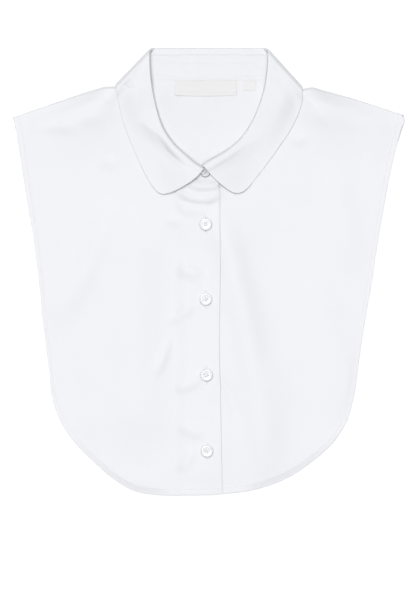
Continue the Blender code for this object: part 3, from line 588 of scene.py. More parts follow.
def add_stitches(name, starts, ends, up, radius, material):
    """Threads that lie on the cloth between pairs of points, each bent down into it at its ends."""
    along = ends - starts
    length = np.linalg.norm(along, axis=1, keepdims=True)
    along = along / length
    side_way = np.cross(up, along)
    side_way /= np.linalg.norm(side_way, axis=1, keepdims=True)
    up = np.cross(along, side_way)
    t = np.linspace(0.0, 1.0, 7)[None, :, None]
    centre = starts[:, None] + along[:, None] * length[:, None] * t
    centre = centre + up[:, None] * radius * (0.55 - 1.1 * (2 * t - 1) ** 4)
    thick = radius * (1.0 - 0.45 * (2 * t - 1) ** 6)
    angle = np.linspace(0.0, 2 * math.pi, 7)[:-1]
    ring = (np.cos(angle)[:, None] * side_way[:, None, None] + np.sin(angle)[:, None] * up[:, None, None])
    body = centre[:, :, None] + ring * thick[..., None]
    count = len(starts)
    tips = np.stack([starts - up * radius * 0.6, ends - up * radius * 0.6], axis=1)
    points = np.concatenate([body.reshape(count, -1, 3), tips], axis=1).reshape(-1, 3)
    quads, fans = rings_to_faces(7, 6, count, True)
    return add_mesh(name, points, quads[:, ::-1], fans[:, ::-1], material)


def line_at(grid, distance, value):
    """The point of each row of a grid where its distance reaches a value."""
    order = 1 if distance[0, -1] > distance[0, 0] else -1
    rows = zip(grid[:, ::order], distance[:, ::order])
    return np.array([at_run(far, row, value) for row, far in rows])


def sew(name, line, up, material):
    """A row of lock stitches along a line on the cloth, each a thread bent down at both ends."""
    run = run_along(line, 0)
    starts = np.arange(1.0, run[-1] - STITCH_PITCH, STITCH_PITCH)
    return add_stitches(name, at_run(run, line, starts), at_run(run, line, starts + STITCH),
                        at_run(run, up, starts), STITCH_HALF, material)


def back_half(side, down, parts, count):
    """Half the back panel at mid-cloth, from the shoulder edge round to the middle line."""
    neck_y = ROLL_BACK_Y - STAND_WIDTH - JOIN
    even = np.linspace(0.0, 1.0, 400)
    shoulder = shoulder_turn(side, False, np.array([1.0]), even)[0, :, :2] * [side["sign"], 1.0]
    seam = curve([shoulder[0], (0.0, neck_y)], down)
    seam[:, 1] = neck_y + (shoulder[0, 1] - neck_y) * (1.0 - ease(down / 0.05))
    table = np.array(side["outline"])
    trimmed = table * [1.0 - BACK_INSET / 160.0, 1.0 - BACK_INSET / 210.0]
    trimmed[:, 0] += side["peek"] * ease((table[:, 1] - 118.0) / 12.0)
    hem = HEM_Y + BACK_INSET
    outline = curve([shoulder[-1]] + trimmed.tolist() + [(0.0, hem)], down)
    across = hemmed_shares(seam, outline, count)
    middle_y = neck_y + (hem - neck_y) * even
    plan = patch(shoulder, np.column_stack([np.zeros_like(middle_y), middle_y]), seam, outline, down, across)
    distance = np.linalg.norm(plan - plan[:, :1], axis=-1)
    z = panel_back_height(distance) - 0.5 * CLOTH
    flat = np.dstack([side["sign"] * plan[..., 0], plan[..., 1], z])
    turned = np.stack([shoulder_turn(side, False, np.array([part]), across[0])[0] for part in parts])
    return turned, flat


def rise_to_roll(x, y):
    """Rise of the back panel towards the collar's roll, under it and just inside the neck."""
    rise = np.zeros_like(x)
    for side in SIDES.values():
        roll = curve([bend_end(side, 0.0)] + side["roll"], np.linspace(0.0, 1.0, 80))
        out = side["sign"] * x
        gap = np.hypot(out[..., None] - roll[:, 0], y[..., None] - roll[:, 1]).min(axis=-1)
        height = NECK_RISE + NECK_RISE_SIDE * (neck_height(side, out, y) - FRONT_REST - 1.0)
        inside = np.clip(1.0 + away_from_crease(side, out, y) / 9.0, 0.0, 1.0)
        rise = np.maximum(rise, height * (1.0 - ease(gap / NECK_RISE_RUN)) * inside)
    return rise


thread = make_thread("white_thread", (0.80, 0.80, 0.83))
cotton = make_cotton("cotton_white", (0.794, 0.798, 0.831))
# A darker copy of the white cotton for the inside of the back panel and the stand: painted shade for the
# depth of the neck opening
painted_shade_cotton = make_cotton("cotton_painted_shade_inside", (0.777, 0.782, 0.814))
turn_parts = np.array([0.0, 0.02, 0.06, 0.14, 0.26, 0.4, 0.55, 0.7, 0.85])
back_down = np.linspace(0.0, 1.0, 96)
left_turn, left_flat = back_half(SIDES["left"], back_down, turn_parts, 64)
right_turn, right_flat = back_half(SIDES["right"], back_down, turn_parts, 64)
middle = np.concatenate([left_turn, left_flat, right_flat[-2::-1], right_turn[::-1]])
x, y = middle[..., 0], middle[..., 1]
edge = run_back(middle, 1)
from_neck = run_along(middle, 1)
from_shoulder = from_ends(middle, 0)
side_edge = from_shoulder[:, -1:]
hem_run = run_along(middle, 0)[:, -1:]
swell = creases(x, y, BACK_CREASES) + 0.22 * unevenness(x, y, 5, 55.0)
quiet = ease(edge / 20.0) * ease(from_neck / 12.0) * ease(side_edge / 12.0)
middle[..., 2] += np.maximum(swell * quiet, -0.35)
middle[..., 2] += rise_to_roll(x, y) * ease(from_neck / 14.0) * ease(side_edge / 20.0)
hem_lift = (hem_form(edge, hem_run) * ease(edge / 0.6))[..., None]
normal = -normals(middle)
half = half_inside(0.5 * CLOTH, edge, (from_neck, NECK_ROUND), from_ends(middle, 0))
upper = middle + normal * (half + hem_lift)
back_piece = add_cloth("back_panel_cloth", upper, middle - normal * half, middle[..., :2], painted_shade_cotton)
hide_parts("back_panel")
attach(back_piece, "root")
back_hem = sew("back_hem_stitches", line_at(upper, edge, HEM_STITCH),
               line_at(normal, edge, HEM_STITCH), thread)
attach(back_hem, "root")

# The fronts
# The wearer's right front laps over the left one by 28 mm, under the buttons, and both are
# hemmed along the side and lower edges. Soft folds fall from the collar to the hem.
LAP = 1.35                 # rise of the right front over the left one
LAP_START = -34.5          # x where it begins, beside the edge of the left front
LAP_RUN = 15.0
NECK_Y = 77.5              # y of the neck seam where the fronts lap
NECK_DIP = 1.75            # how much the seam rises from there to the edge of the left front
MIDDLE_X = -3.75
UNDER_EDGE_X = -17.5       # the edge of the left front, under the right one
STRIP = 28.0               # width over which the fronts lap
PLACKET = 0.26             # half the thickness of the folded front edge
PLACKET_SINK = 0.16        # how far its edge sinks onto the cloth below it
PLACKET_SINK_RUN = 24.0
RIM_DROOP = 0.80           # how far the lower hem sags below the rest of the fronts
RIM_SWELL = 0.35           # how far the cloth stands up beside it
RIM_RUN = 8.0
RIM_LOW = -140.0           # the hem sags below this y
SHOULDER_DROOP = 0.5       # share of its height that the shoulder edge loses
SHOULDER_SWELL = 0.85      # how far the cloth stands up beside it
SHOULDER_RUN = 15.0
SEAM_LEVEL = 1.3           # height of the shoulder seam
FRONT_ROWS = 130
FRONT_COLUMNS = 110
# The edge of the right front, from the neck to the hem: y, x
PLACKET_EDGE = [(77.5, 10.0), (8.0, 11.2), (-71.0, 9.8), (-102.0, 10.6), (-208.9, 12.8)]
# The neck seam of each front, from the side fold to the lapped strip, and where it meets that strip
SIDES["left"].update({
    "seam": [(81.0, 158.0), (74.5, 142.0), (65.5, 123.0), (54.0, 105.5), (41.0, 91.5), (28.5, 82.9)],
    "strip_out": 17.5,
})
SIDES["right"].update({
    "seam": [(80.0, 158.5), (73.5, 142.0), (64.0, 124.0), (52.0, 107.5), (38.0, 94.0), (22.5, 83.8)],
    "strip_out": 10.0,
})
# Swell of the lapped ends of the stand and the fronts across the neck seam: as a crease
SEAM_SWELL = [(-17.0, 81.0, 9.0, 80.5, -1.0, 5.6, 1.9)]
# Creases of the fronts: start x, y, end x, y, bow to the left, half width, height
FRONT_CREASES = [
    # Long folds from the collar towards the hem
    (-73.0, 44.0, -66.0, -160.0, 0.0, 25.0, 2.4),
    (-92.0, 58.0, -138.0, -40.0, 2.0, 13.0, 1.7),
    (6.0, -4.0, 6.0, -196.0, 0.0, 27.0, 1.2),
    (10.0, 50.0, 52.0, -178.0, 7.0, 15.0, 3.0),
    (98.0, -6.0, 130.0, -125.0, 0.0, 17.0, 1.3),
    (118.0, 92.0, 134.0, 10.0, 0.0, 14.0, 1.2),
    (-116.0, -60.0, -112.0, -150.0, 3.0, 12.0, 0.8),
    (60.0, -80.0, 66.0, -178.0, 2.0, 12.0, 0.7),
    # Soft swells under the shoulders
    (-176.0, 136.0, -128.0, 136.0, 1.0, 6.0, 1.0),
    (-150.0, 143.0, -98.0, 147.0, 0.0, 9.0, 0.8),
    (92.0, 150.0, 166.0, 139.0, 0.0, 9.0, 0.8),
    (-101.0, 167.0, -90.0, 161.0, 0.0, 3.5, 0.6),
    (-98.0, 104.0, -88.0, 100.0, 0.0, 6.0, 0.9),
    (76.0, 126.0, 90.0, 123.0, 0.0, 5.0, 0.8),
    # Short puckers round the buttoned edge
    (-26.0, 74.0, 10.0, 73.5, -5.0, 4.5, 1.9),
    (-24.0, 67.0, 4.0, 62.0, -1.0, 4.0, -0.7),
    (-27.0, 61.0, -2.0, 60.0, -2.0, 5.0, 0.9),
    (-40.0, 50.0, -27.0, 47.0, 0.0, 6.0, 1.0),
    (-27.0, 2.0, -10.0, -3.5, 1.0, 5.5, 1.3),
    (-16.5, -31.0, -36.0, -46.0, 1.5, 5.0, 1.0),
    (-38.0, -66.0, -50.0, -96.0, 1.0, 4.0, 0.9),
    (-9.0, -99.0, -29.0, -109.5, 1.5, 5.0, 1.0),
    (-26.0, -143.5, -7.0, -152.5, -1.0, 5.0, 1.0),
    (-16.5, -170.0, -26.5, -185.0, 1.0, 4.5, 0.8),
    (12.5, -101.0, 26.5, -135.0, 1.0, 4.0, -0.7),
]


def lap_rise(x):
    """Lift of the right front and its end of the stand where they lie over the left ones."""
    return LAP * ease((x - LAP_START) / LAP_RUN)


def strip_neck(x):
    """The neck seam across the lapped strip."""
    return NECK_Y + NECK_DIP * ((x - MIDDLE_X) / (MIDDLE_X - UNDER_EDGE_X)) ** 2


def front_height(side, out, y, distance):
    """Height of the underside of a front, at a distance from the neck seam."""
    rise = (neck_height(side, out, y) - FRONT_REST) * (1.0 - ease(distance / RISE_FALL))
    return FRONT_REST + rise


def strip_lines(parts, count):
    """The strip where the fronts lap: a line from the neck seam to the hem for each part."""
    table = np.array(PLACKET_EDGE)[::-1]
    top_x = UNDER_EDGE_X + parts * (np.interp(NECK_Y, table[:, 0], table[:, 1]) - UNDER_EDGE_X)
    top = np.column_stack([top_x, strip_neck(top_x) - JOIN])
    hem_y = HEM_Y + 1.1 * parts**2
    across = hemmed_shares(top, np.column_stack([top_x, hem_y]), count)
    y = top[:, 1:] + (hem_y - top[:, 1])[:, None] * across
    x = UNDER_EDGE_X + parts[:, None] * (np.interp(y, table[:, 0], table[:, 1]) - UNDER_EDGE_X)
    return np.dstack([x, y, front_height(SIDES["left"], -x, y, top[:, 1:] - y)])


def seam_line(side, shares):
    """The neck seam of one side, from the side fold to the lapped strip."""
    end = (side["strip_out"], strip_neck(side["sign"] * side["strip_out"]))
    return curve([bend_end(side, STAND_WIDTH)] + side["seam"] + [end], shares)


def front_half(side, down, parts, count):
    """One front beside the strip, from its shoulder edge round to the strip."""
    even = np.linspace(0.0, 1.0, 400)
    shoulder = shoulder_turn(side, True, np.array([1.0]), even)[0]
    strip = strip_lines(np.array([0.0 if side["sign"] < 0 else 1.0]), 380)[0]
    strip_run = run_along(strip, 0)
    first = shoulder[:, :2] * [side["sign"], 1.0]
    last = at_run(strip_run, strip[:, :2], even * strip_run[-1]) * [side["sign"], 1.0]
    seam = seam_line(side, down)
    seam = seam + (first[0] - seam[0]) * (1.0 - ease(down / 0.12))[:, None]
    seam = seam + (last[0] - seam[-1]) * ease((down - 0.88) / 0.12)[:, None]
    outline = curve([first[-1]] + side["outline"] + [last[-1]], down)
    across = hemmed_shares(seam, outline, count)
    plan = patch(first, last, seam, outline, down, across)
    distance = np.linalg.norm(plan - plan[:, :1], axis=-1)
    z = front_height(side, plan[..., 0], plan[..., 1], distance)
    edge_z = np.interp(across[0], even, shoulder[:, 2]) - (WALL - 0.5 * CLOTH)
    z = z + (1.0 - ease(down / 0.16))[:, None] * (edge_z - z[0])[None]
    turned = np.stack([shoulder_turn(side, True, np.array([part]), across[0])[0] for part in parts])
    return turned, np.dstack([side["sign"] * plan[..., 0], plan[..., 1], z])


def add_front(name, turned, flat, material):
    """A front from the turn of its shoulder and its flat grid, whose last row lies in the strip."""
    down = run_along(flat, 1)[..., None]
    lap = 0.0
    if name == "right_front":
        sink = (1.0 - ease(run_back(flat, 0)[..., None] / PLACKET_SINK_RUN)) * ease(down / 30.0)
        lap = lap_rise(flat[..., :1]) - PLACKET_SINK * sink
    # The grid's underside is raised to mid-cloth: straight up at the neck seam, which stays closed
    normal = normals(flat)
    normal *= np.sign(normal[..., 2:])
    upright = 1.0 - ease(down / 12.0)
    way = normal * (1.0 - upright) + upright * [0.0, 0.0, 1.0]
    middle = np.concatenate([turned, flat + way * (lap + WALL - 0.5 * CLOTH)])
    edge = run_back(middle, 1)
    from_neck = run_along(middle, 1)
    from_seam = run_along(middle, 0)
    height = middle[..., 2]
    # The lower hem sags and the cloth beside it stands up
    low = ease((RIM_LOW - middle[..., 1]) / 60.0) * ease((np.abs(middle[..., 0]) - 24.0) / 30.0)
    sag = (1.0 - ease(edge / RIM_RUN)) * RIM_DROOP
    sag = sag - RIM_SWELL * ease(edge / RIM_RUN) * (1.0 - ease((edge - RIM_RUN) / 55.0))
    height -= sag * low * ease(from_seam / 6.0)
    # The shoulder edge is pressed flatter and the cloth beside it stands up
    beside_neck = ease((from_neck - 6.0) / 26.0)
    flatter = SHOULDER_DROOP * (1.0 - ease(from_seam / SHOULDER_RUN)) * beside_neck
    height -= flatter * np.maximum(height - SEAM_LEVEL, 0.0)
    swell = ease(from_seam / SHOULDER_RUN) * (1.0 - ease((from_seam - SHOULDER_RUN) / 60.0))
    height += SHOULDER_SWELL * swell * beside_neck * ease(edge / 26.0)
    from_strip = run_back(middle, 0)
    normal = normals(middle)
    normal *= np.sign(np.median(normal[..., 2]))
    half = half_inside(0.5 * CLOTH, edge, (from_neck, NECK_ROUND), from_seam, from_strip)
    lift = (hem_form(edge, from_seam[:, -1:]) * ease(edge / 0.6) * ease(from_strip / 4.0))[..., None]
    deep = (2.0 * PLACKET - CLOTH) * ease(from_strip / 0.5) * (1.0 - ease((from_strip - 20.0) / 10.0))
    upper = middle + normal * (half + lift)
    lower = middle - normal * (half + deep[..., None])
    piece = add_cloth(name + "_cloth", upper, lower, middle[..., :2], material)
    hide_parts(name)
    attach(piece, "root")
    sewn = slice(len(turned) - 2, -3)
    hem = sew(name + "_hem_stitches", line_at(upper[sewn], edge[sewn], HEM_STITCH),
              line_at(normal[sewn], edge[sewn], HEM_STITCH), thread)
    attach(hem, "root")
    return piece, hem


front_down = np.linspace(0.0, 1.0, FRONT_ROWS)
strip_steps = np.array([0.0, 0.05, 0.16, 0.34, 0.6, 1.0, 1.6, 2.4, 3.4]) / STRIP
strip_parts = np.concatenate([strip_steps, np.linspace(0.0, 1.0, 20)[3:-3], 1.0 - strip_steps[::-1]])
left_turn, left_flat = front_half(SIDES["left"], front_down, turn_parts, FRONT_COLUMNS)
right_turn, right_flat = front_half(SIDES["right"], front_down, turn_parts, FRONT_COLUMNS)
strip = strip_lines(strip_parts, FRONT_COLUMNS)
whole = np.concatenate([left_flat[:-1], strip, right_flat[-2::-1]])
x, y = whole[..., 0], whole[..., 1]
quiet = ease((run_back(whole, 1) + 4.0) / 24.0) * ease(run_along(whole, 1) / 10.0)
quiet = quiet * ease(from_ends(whole, 0) / 26.0)
whole[..., 2] += (creases(x, y, FRONT_CREASES) + 0.30 * unevenness(x, y, 11, 48.0)) * quiet
whole[..., 2] += creases(x, y, SEAM_SWELL)
left_rows = len(left_flat) - 1
split = left_rows + len(strip)
right_front, right_hem = add_front("right_front", left_turn, whole[:split], cotton)
left_front, left_hem = add_front("left_front", right_turn, whole[left_rows:][::-1], cotton)

# The stand
# The band that stands up round the neck, cut double. Its inside shows at the back of the neck,
# and its rounded buttoned end shows between the two halves of the collar.
STAND_TOP = 6.9              # distance of its upper edge from the roll
STAND_FRONT_TOP = 2.6        # the same at the front end
STAND_HALF = 0.47            # half its thickness
STAND_ROUNDS = (0.06, NECK_ROUND, 0.15)
STAND_ROWS = (8.1, 21.9)     # its rows of stitches, from the upper edge
# The rounded ends of the stand: points along its upper edge, then the seam points below them
SIDES["left"]["tab"] = ([(4.6, 96.4), (-0.5, 98.6), (-4.5, 97.6), (-8.0, 93.0), (-9.9, 85.5)],
                        [11.0, 6.0, 1.0, -4.5, -9.6])
SIDES["right"]["tab"] = ([(-5.0, 98.2), (-9.0, 97.0), (-13.0, 92.5), (-15.2, 88.5)],
                         [3.0, -3.0, -9.0, -15.0])
# Distances from an edge of the band at which it has a line of points
EDGE_STEPS = [0.0, 0.04, 0.14, 0.3, 0.5, 0.9]
# Creases of the stand: start x, y, end x, y, bow to the left, half width, height
STAND_CREASES = [
    (37.5, 199.5, 45.5, 189.0, -1.0, 2.2, -0.42),
    (41.0, 200.5, 49.5, 190.0, -1.5, 2.6, 0.34),
    (-42.5, 197.0, -35.0, 189.0, 1.0, 2.4, -0.28),
    (-12.0, 201.0, -14.0, 184.0, 1.0, 3.0, 0.16),
    (12.0, 200.0, 9.0, 185.0, -1.0, 4.0, -0.16),
    (-30.0, 200.0, -24.0, 186.0, 1.0, 4.0, 0.14),
    (26.0, 199.0, 28.0, 186.0, 1.0, 3.4, 0.14),
]


def back_place(side, run, width, depth):
    """A point of the flat back of the collar, on a line that leans out towards the crease."""
    angle = math.radians(side["crease_angle"])
    start = side["corner_out"] - bend_step(side)
    lean = ease(run / start) / math.tan(angle)
    out = run + width * lean
    z = BEND_AXIS - BEND_INNER - depth
    return np.stack(np.broadcast_arrays(side["sign"] * out, ROLL_BACK_Y - width, z), axis=-1)


def roll_line(side, shares):
    """The line of the collar's roll in front of the side fold."""
    return curve([bend_end(side, 0.0)] + side["roll"], shares)


def stand_half(side, parts, runs, turns, shares, tab_shares):
    """Half the stand at mid-thickness, from the middle of the back to its front end."""
    widths = STAND_TOP + (STAND_WIDTH - STAND_TOP) * parts
    half = bend_step(side)
    depth = 0.5 * WALL
    columns = [back_place(side, run * (side["corner_out"] - half), widths, depth) for run in runs]
    columns += [bend_place(side, half * (turn / 90.0 - 1.0), widths, depth) for turn in turns]
    roll = roll_line(side, shares)
    seam = seam_line(side, shares)
    tops = []
    for share, top, low in zip(shares, roll, seam):
        start = STAND_TOP - (STAND_TOP - STAND_FRONT_TOP) * ease((share - 0.72) / 0.28)
        tops.append(top + (low - top) * (start + 0.4) / np.linalg.norm(low - top))
    tab_top, tab_low = side["tab"]
    tab = curve([tops[-1]] + tab_top, tab_shares)
    low_x = np.interp(tab_shares, np.linspace(0.0, 1.0, len(tab_low) + 1), [seam[-1][0]] + tab_low)
    low_y = strip_neck(side["sign"] * low_x)
    tops = np.concatenate([tops, tab])
    lows = np.concatenate([seam, np.column_stack([low_x, low_y])])
    plan = tops[:, None] + (lows - tops)[:, None] * parts[None, :, None]
    x = side["sign"] * plan[..., 0]
    z = neck_height(side, plan[..., 0], plan[..., 1]) + depth + creases(x, plan[..., 1], SEAM_SWELL)
    if side["sign"] < 0:
        z = z + lap_rise(x)
    return np.concatenate([np.array(columns), np.dstack([x, plan[..., 1], z])])


def edge_shares(length, count, steps):
    """Shares from 0 to 1 that are even in the middle and close together at both ends."""
    near = np.asarray(steps) / length
    return np.concatenate([near[:-1], np.linspace(near[-1], 1.0 - near[-1], count), 1.0 - near[-2::-1]])


def add_band(name, left, right, half, rounds, rows, material):
    """One closed shell from the two halves of the collar's band or leaf.

    rounds are the roundings of its first edge, its last edge and its ends, and rows the distances
    of its rows of stitches from the first edge, on its inside.
    """
    middle = np.concatenate([left[::-1], right[1:]])
    along = run_along(middle, 0)
    down = run_along(middle, 1)
    thick = half_inside(half, (down, rounds[0]), (run_back(middle, 1), rounds[1]),
                        (from_ends(middle, 0), rounds[2]))
    normal = normals(middle)
    run = np.broadcast_to(along.mean(axis=1, keepdims=True), down.shape)
    piece = add_cloth(name + "_cloth", middle + normal * thick, middle - normal * thick,
                      np.dstack([run, down]), material)
    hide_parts(name)
    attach(piece, "root")
    inner = normal * np.sign(normal[len(middle) // 2, 0, 2])
    threads = []
    for number, depth in enumerate(rows):
        line = line_at(middle + inner * thick, down, depth)
        row = sew(f"{name}_stitches_{number + 1}", line[2:-2], line_at(inner, down, depth)[2:-2], thread)
        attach(row, "root")
        threads.append(row)
    return piece, threads


def wrinkle_back(half, table):
    """Adds creases to the part of the collar's band that lies flat at the back of the neck."""
    rows = len(back_runs)
    part = half[:rows]
    x, y = part[..., 0], part[..., 1]
    fade = ease((rows - 1 - np.arange(rows)) / 4.0)[:, None]
    lift = creases(x, y, table) + 0.10 * unevenness(x, y, 21, 14.0)
    part[..., 2] += lift * fade * ease(run_along(part, 1) / 3.0)


stand_parts = edge_shares(STAND_WIDTH - STAND_TOP, 30, EDGE_STEPS)
back_runs = np.linspace(0.0, 1.0, 22)
bend_turns = np.linspace(0.0, 180.0, 25)[1:]
front_shares = np.linspace(0.0, 1.0, 90)[1:]
tab_shares = np.linspace(0.0, 1.0, 30)[1:]
stand_left = stand_half(SIDES["left"], stand_parts, back_runs, bend_turns, front_shares, tab_shares)
stand_right = stand_half(SIDES["right"], stand_parts, back_runs, bend_turns, front_shares, tab_shares)
wrinkle_back(stand_left, STAND_CREASES)
wrinkle_back(stand_right, STAND_CREASES)
stand, stand_rows = add_band("collar_stand", stand_left, stand_right, STAND_HALF, STAND_ROUNDS,
                             STAND_ROWS, painted_shade_cotton)

# The leaf
# The part of the collar that turns down over the stand, cut double and turned out, with
# rounded corners at the front. It rolls over softly and lies on top of itself at each side.
LIP_WIDTH = 6.86             # from the roll to its first edge, inside the neck
LEAF_OVER = 1.6              # height of its upper layer above the lip
LEAF_BACK_WIDTH = 38.0
LEAF_HALF = 0.45             # half its thickness
LEAF_ROUNDS = (0.06, 0.42, 0.42)
LEAF_ROWS = (0.9,)           # its row of stitches, from the first edge
APEX = (-3.6, 96.2)          # where the two rolls meet over the button of the stand
ROLL_SHARE = 0.3             # share of the lift over that button that the roll itself takes
ROLL_RUN = 6.0               # width over which the upper layer then takes it all
LEAF_LAP_START = -64.0       # x where the leaf's soft rise over the lapped stand begins
LEAF_LAP_RUN = 44.0
LEAF_SINK_RUN = 24.0         # width of the strip along the outer edge that sinks onto the fronts
LEAF_SINK_LEFT = 0.10        # gap that stays under the edge
FOLD_DOME = 3.0              # swell of the leaf beside its side fold
FOLD_DOME_RUN = 18.0
APEX_LIFT = (2.2, 50.0)      # how far the front edge stands up next to the button, and its reach
APEX_LIFT_UNDER = (0.6, 34.0)
CORNER_FREE = {-1.0: 46.0, 1.0: 22.0}    # how near its front edge a leaf no longer sinks
BREAK_STEEP = 0.6            # below 1, the fall at the break line is steepest near its start
BREAK_SWELL = 1.5            # how fast the step grows along the collar
# Each half of the leaf: its width at both ends of the side fold, its outer edge, its front edge,
# its lift over the button with its reach, and the line behind which it stands higher. The step
# there has a height, a start before the line, a width, and a start and growth past the side fold.
SIDES["left"].update({
    "bend_width": (34.3, 32.9),
    "leaf_edge": [(85.3, 161.4), (81.8, 145.7), (75.0, 125.7), (66.2, 105.0), (56.8, 86.2),
                  (50.6, 77.3), (46.6, 73.8)],
    "front_edge": [(42.0, 72.6), (34.8, 74.5), (23.9, 80.0), (12.9, 87.2)],
    "lift": 1.5,
    "lift_reach": 42.0,
    "break_step": (3.6, 5.0, 14.0, 34.0, 62.0),
    "break_line": [(85.3, 146.4), (59.9, 132.3), (38.3, 115.4), (17.6, 101.3), (5.4, 94.7), (-8.0, 88.0)],
})
SIDES["right"].update({
    "bend_width": (35.4, 35.8),
    "leaf_edge": [(88.2, 163.5), (85.9, 153.0), (78.0, 134.8), (65.4, 116.0), (52.9, 98.7),
                  (41.9, 84.6), (36.5, 78.3), (32.6, 75.2)],
    "front_edge": [(28.6, 73.7), (23.1, 74.2), (16.9, 77.8), (7.5, 85.5)],
    "lift": 0.9,
    "lift_reach": 34.0,
    "break_step": (2.7, 6.5, 15.0, 56.0, 56.0),
    "break_line": [(83.9, 146.4), (62.3, 132.3), (43.5, 116.3), (24.7, 106.0), (5.9, 98.5), (-8.0, 92.0)],
})

def break_rise(side, out, y):
    """Height that a leaf keeps behind its break line, which runs from its outer edge to the middle."""
    line = curve(side["break_line"], np.linspace(0.0, 1.0, 60))
    slope = np.gradient(line, axis=0)
    slope /= np.linalg.norm(slope, axis=1, keepdims=True)
    gap = np.stack(np.broadcast_arrays(out, y), axis=-1)[..., None, :] - line
    near = np.argmin((gap**2).sum(axis=-1), axis=-1)
    offset = np.take_along_axis(gap, near[..., None, None], axis=-2)[..., 0, :]
    before = offset[..., 0] * slope[near][..., 1] - offset[..., 1] * slope[near][..., 0]
    drop, ahead, width, start, length = side["break_step"]
    fallen = np.clip((ahead - before) / width, 0.0, 1.0)
    grown = np.clip((away_from_crease(side, out, y) - start) / length, 0.0, 1.0)
    step = drop * (1.0 - (1.0 - grown) ** BREAK_SWELL)
    return step * (1.0 - ease(fallen**BREAK_STEEP))


def button_lift(side, x, y):
    """Lift of a leaf near the middle of the front, over the button of the stand."""
    distance = np.hypot(x - APEX[0], y - APEX[1])
    return side["lift"] * (1.0 - ease((distance - 5.0) / side["lift_reach"]))


def leaf_rise(side, x, y):
    """Lift of a leaf over the button, over the lapped ends of the stand and behind its break line."""
    lift = button_lift(side, x, y) + break_rise(side, side["sign"] * x, y)
    if side["sign"] < 0:
        return lift + LAP * ease((x - LEAF_LAP_START) / LEAF_LAP_RUN)
    return lift + LAP * (1.0 - ease((x - 12.0) / LEAF_LAP_RUN))


def leaf_section(low, high, first_turn, lip):
    """Width and depth of the middle of the leaf, from its lip round the half circle of the roll."""
    radius = 0.5 * (high - low)
    centre = radius + 0.5 * WALL
    turn = np.linspace(first_turn, 0.0, 22)
    width = centre - radius * np.sin(turn)
    depth = 0.5 * (high + low) + radius * np.cos(turn)
    length = max(lip - centre, 0.8) if first_turn > 3.0 else 0.8
    steps = length - np.concatenate([[0.0, 0.03, 0.07, 0.12, 0.3, 0.5], np.linspace(0.5, length, 8)[1:-1]])
    return (np.concatenate([width[0] - math.cos(first_turn) * steps, width]),
            np.concatenate([depth[0] - math.sin(first_turn) * steps, depth]))


def leaf_column(section, whole_width, top_parts):
    """Width and depth of a whole column: the section of the roll, then the level upper layer."""
    width, depth = section
    tops = width[-1] + (whole_width - width[-1]) * top_parts
    return np.concatenate([width, tops]), np.concatenate([depth, np.full(len(tops), depth[-1])])


def leaf_front_column(side, line, share, top_parts):
    """One column of the leaf in front of the side fold, over its line from the roll to the edge."""
    run = run_along(line, 0)

    def plan_at(width):
        """Plan of a point at a width from the roll, straight on behind it."""
        return at_run(run, line, width) + np.minimum(width, 0.0)[:, None] * (line[1] - line[0]) / run[1]

    near = plan_at(np.array([2.5]))[0]
    near_x = side["sign"] * near[0]
    low = 0.5 * WALL + (float(lap_rise(near_x)) if side["sign"] < 0 else 0.0)
    high = LEAF_OVER + 0.5 * WALL + float(leaf_rise(side, near_x, near[1]))
    high -= (1.0 - ROLL_SHARE) * float(button_lift(side, near_x, near[1]))
    late = float(ease((share - 0.7) / 0.3))
    lip = LIP_WIDTH * (1 - late) + 2.0 * late
    section = leaf_section(low, high, math.pi * (1.0 - 0.62 * late), lip)
    width, depth = leaf_column(section, run[-1], top_parts)
    plan = plan_at(width)
    x = side["sign"] * plan[:, 0]
    z = neck_height(side, plan[:, 0], plan[:, 1]) + depth
    first_top = len(width) - len(top_parts)
    change = leaf_rise(side, x, plan[:, 1]) - (high - LEAF_OVER - 0.5 * WALL)
    z[first_top:] += change[first_top:] * ease((width[first_top:] - width[first_top]) / ROLL_RUN)
    return np.column_stack([x, plan[:, 1], z])


def leaf_half(side, top_parts, runs, turns, shares):
    """Half the leaf at mid-thickness, from the middle of the back to its front edge."""
    half = bend_step(side)
    plain = leaf_section(0.5 * WALL, LEAF_OVER + 0.5 * WALL, math.pi, LIP_WIDTH)
    wide = side["bend_width"]
    columns = []
    for run in runs:
        narrow = LEAF_BACK_WIDTH - (LEAF_BACK_WIDTH - wide[0]) * ease(run)
        width, depth = leaf_column(plain, narrow, top_parts)
        columns.append(back_place(side, run * (side["corner_out"] - half), width, depth))
    for turn in turns:
        width, depth = leaf_column(plain, wide[0] + (wide[1] - wide[0]) * turn / 180.0, top_parts)
        columns.append(bend_place(side, half * (turn / 90.0 - 1.0), width, depth))
    fine = np.linspace(0.0, 1.0, 161)
    every = np.concatenate([[0.0], shares])
    roll = roll_line(side, every)
    edge = curve([bend_end(side, wide[1])] + side["leaf_edge"] + [side["front_edge"][0]], every)
    start = curve([roll[0], edge[0]], fine)
    end = curve([roll[-1]] + side["front_edge"][::-1], fine)
    plan = patch(start, end, roll, edge, every, np.broadcast_to(fine, (len(every), len(fine))))
    columns += [leaf_front_column(side, plan[k + 1], share, top_parts) for k, share in enumerate(shares)]
    return np.array(columns)


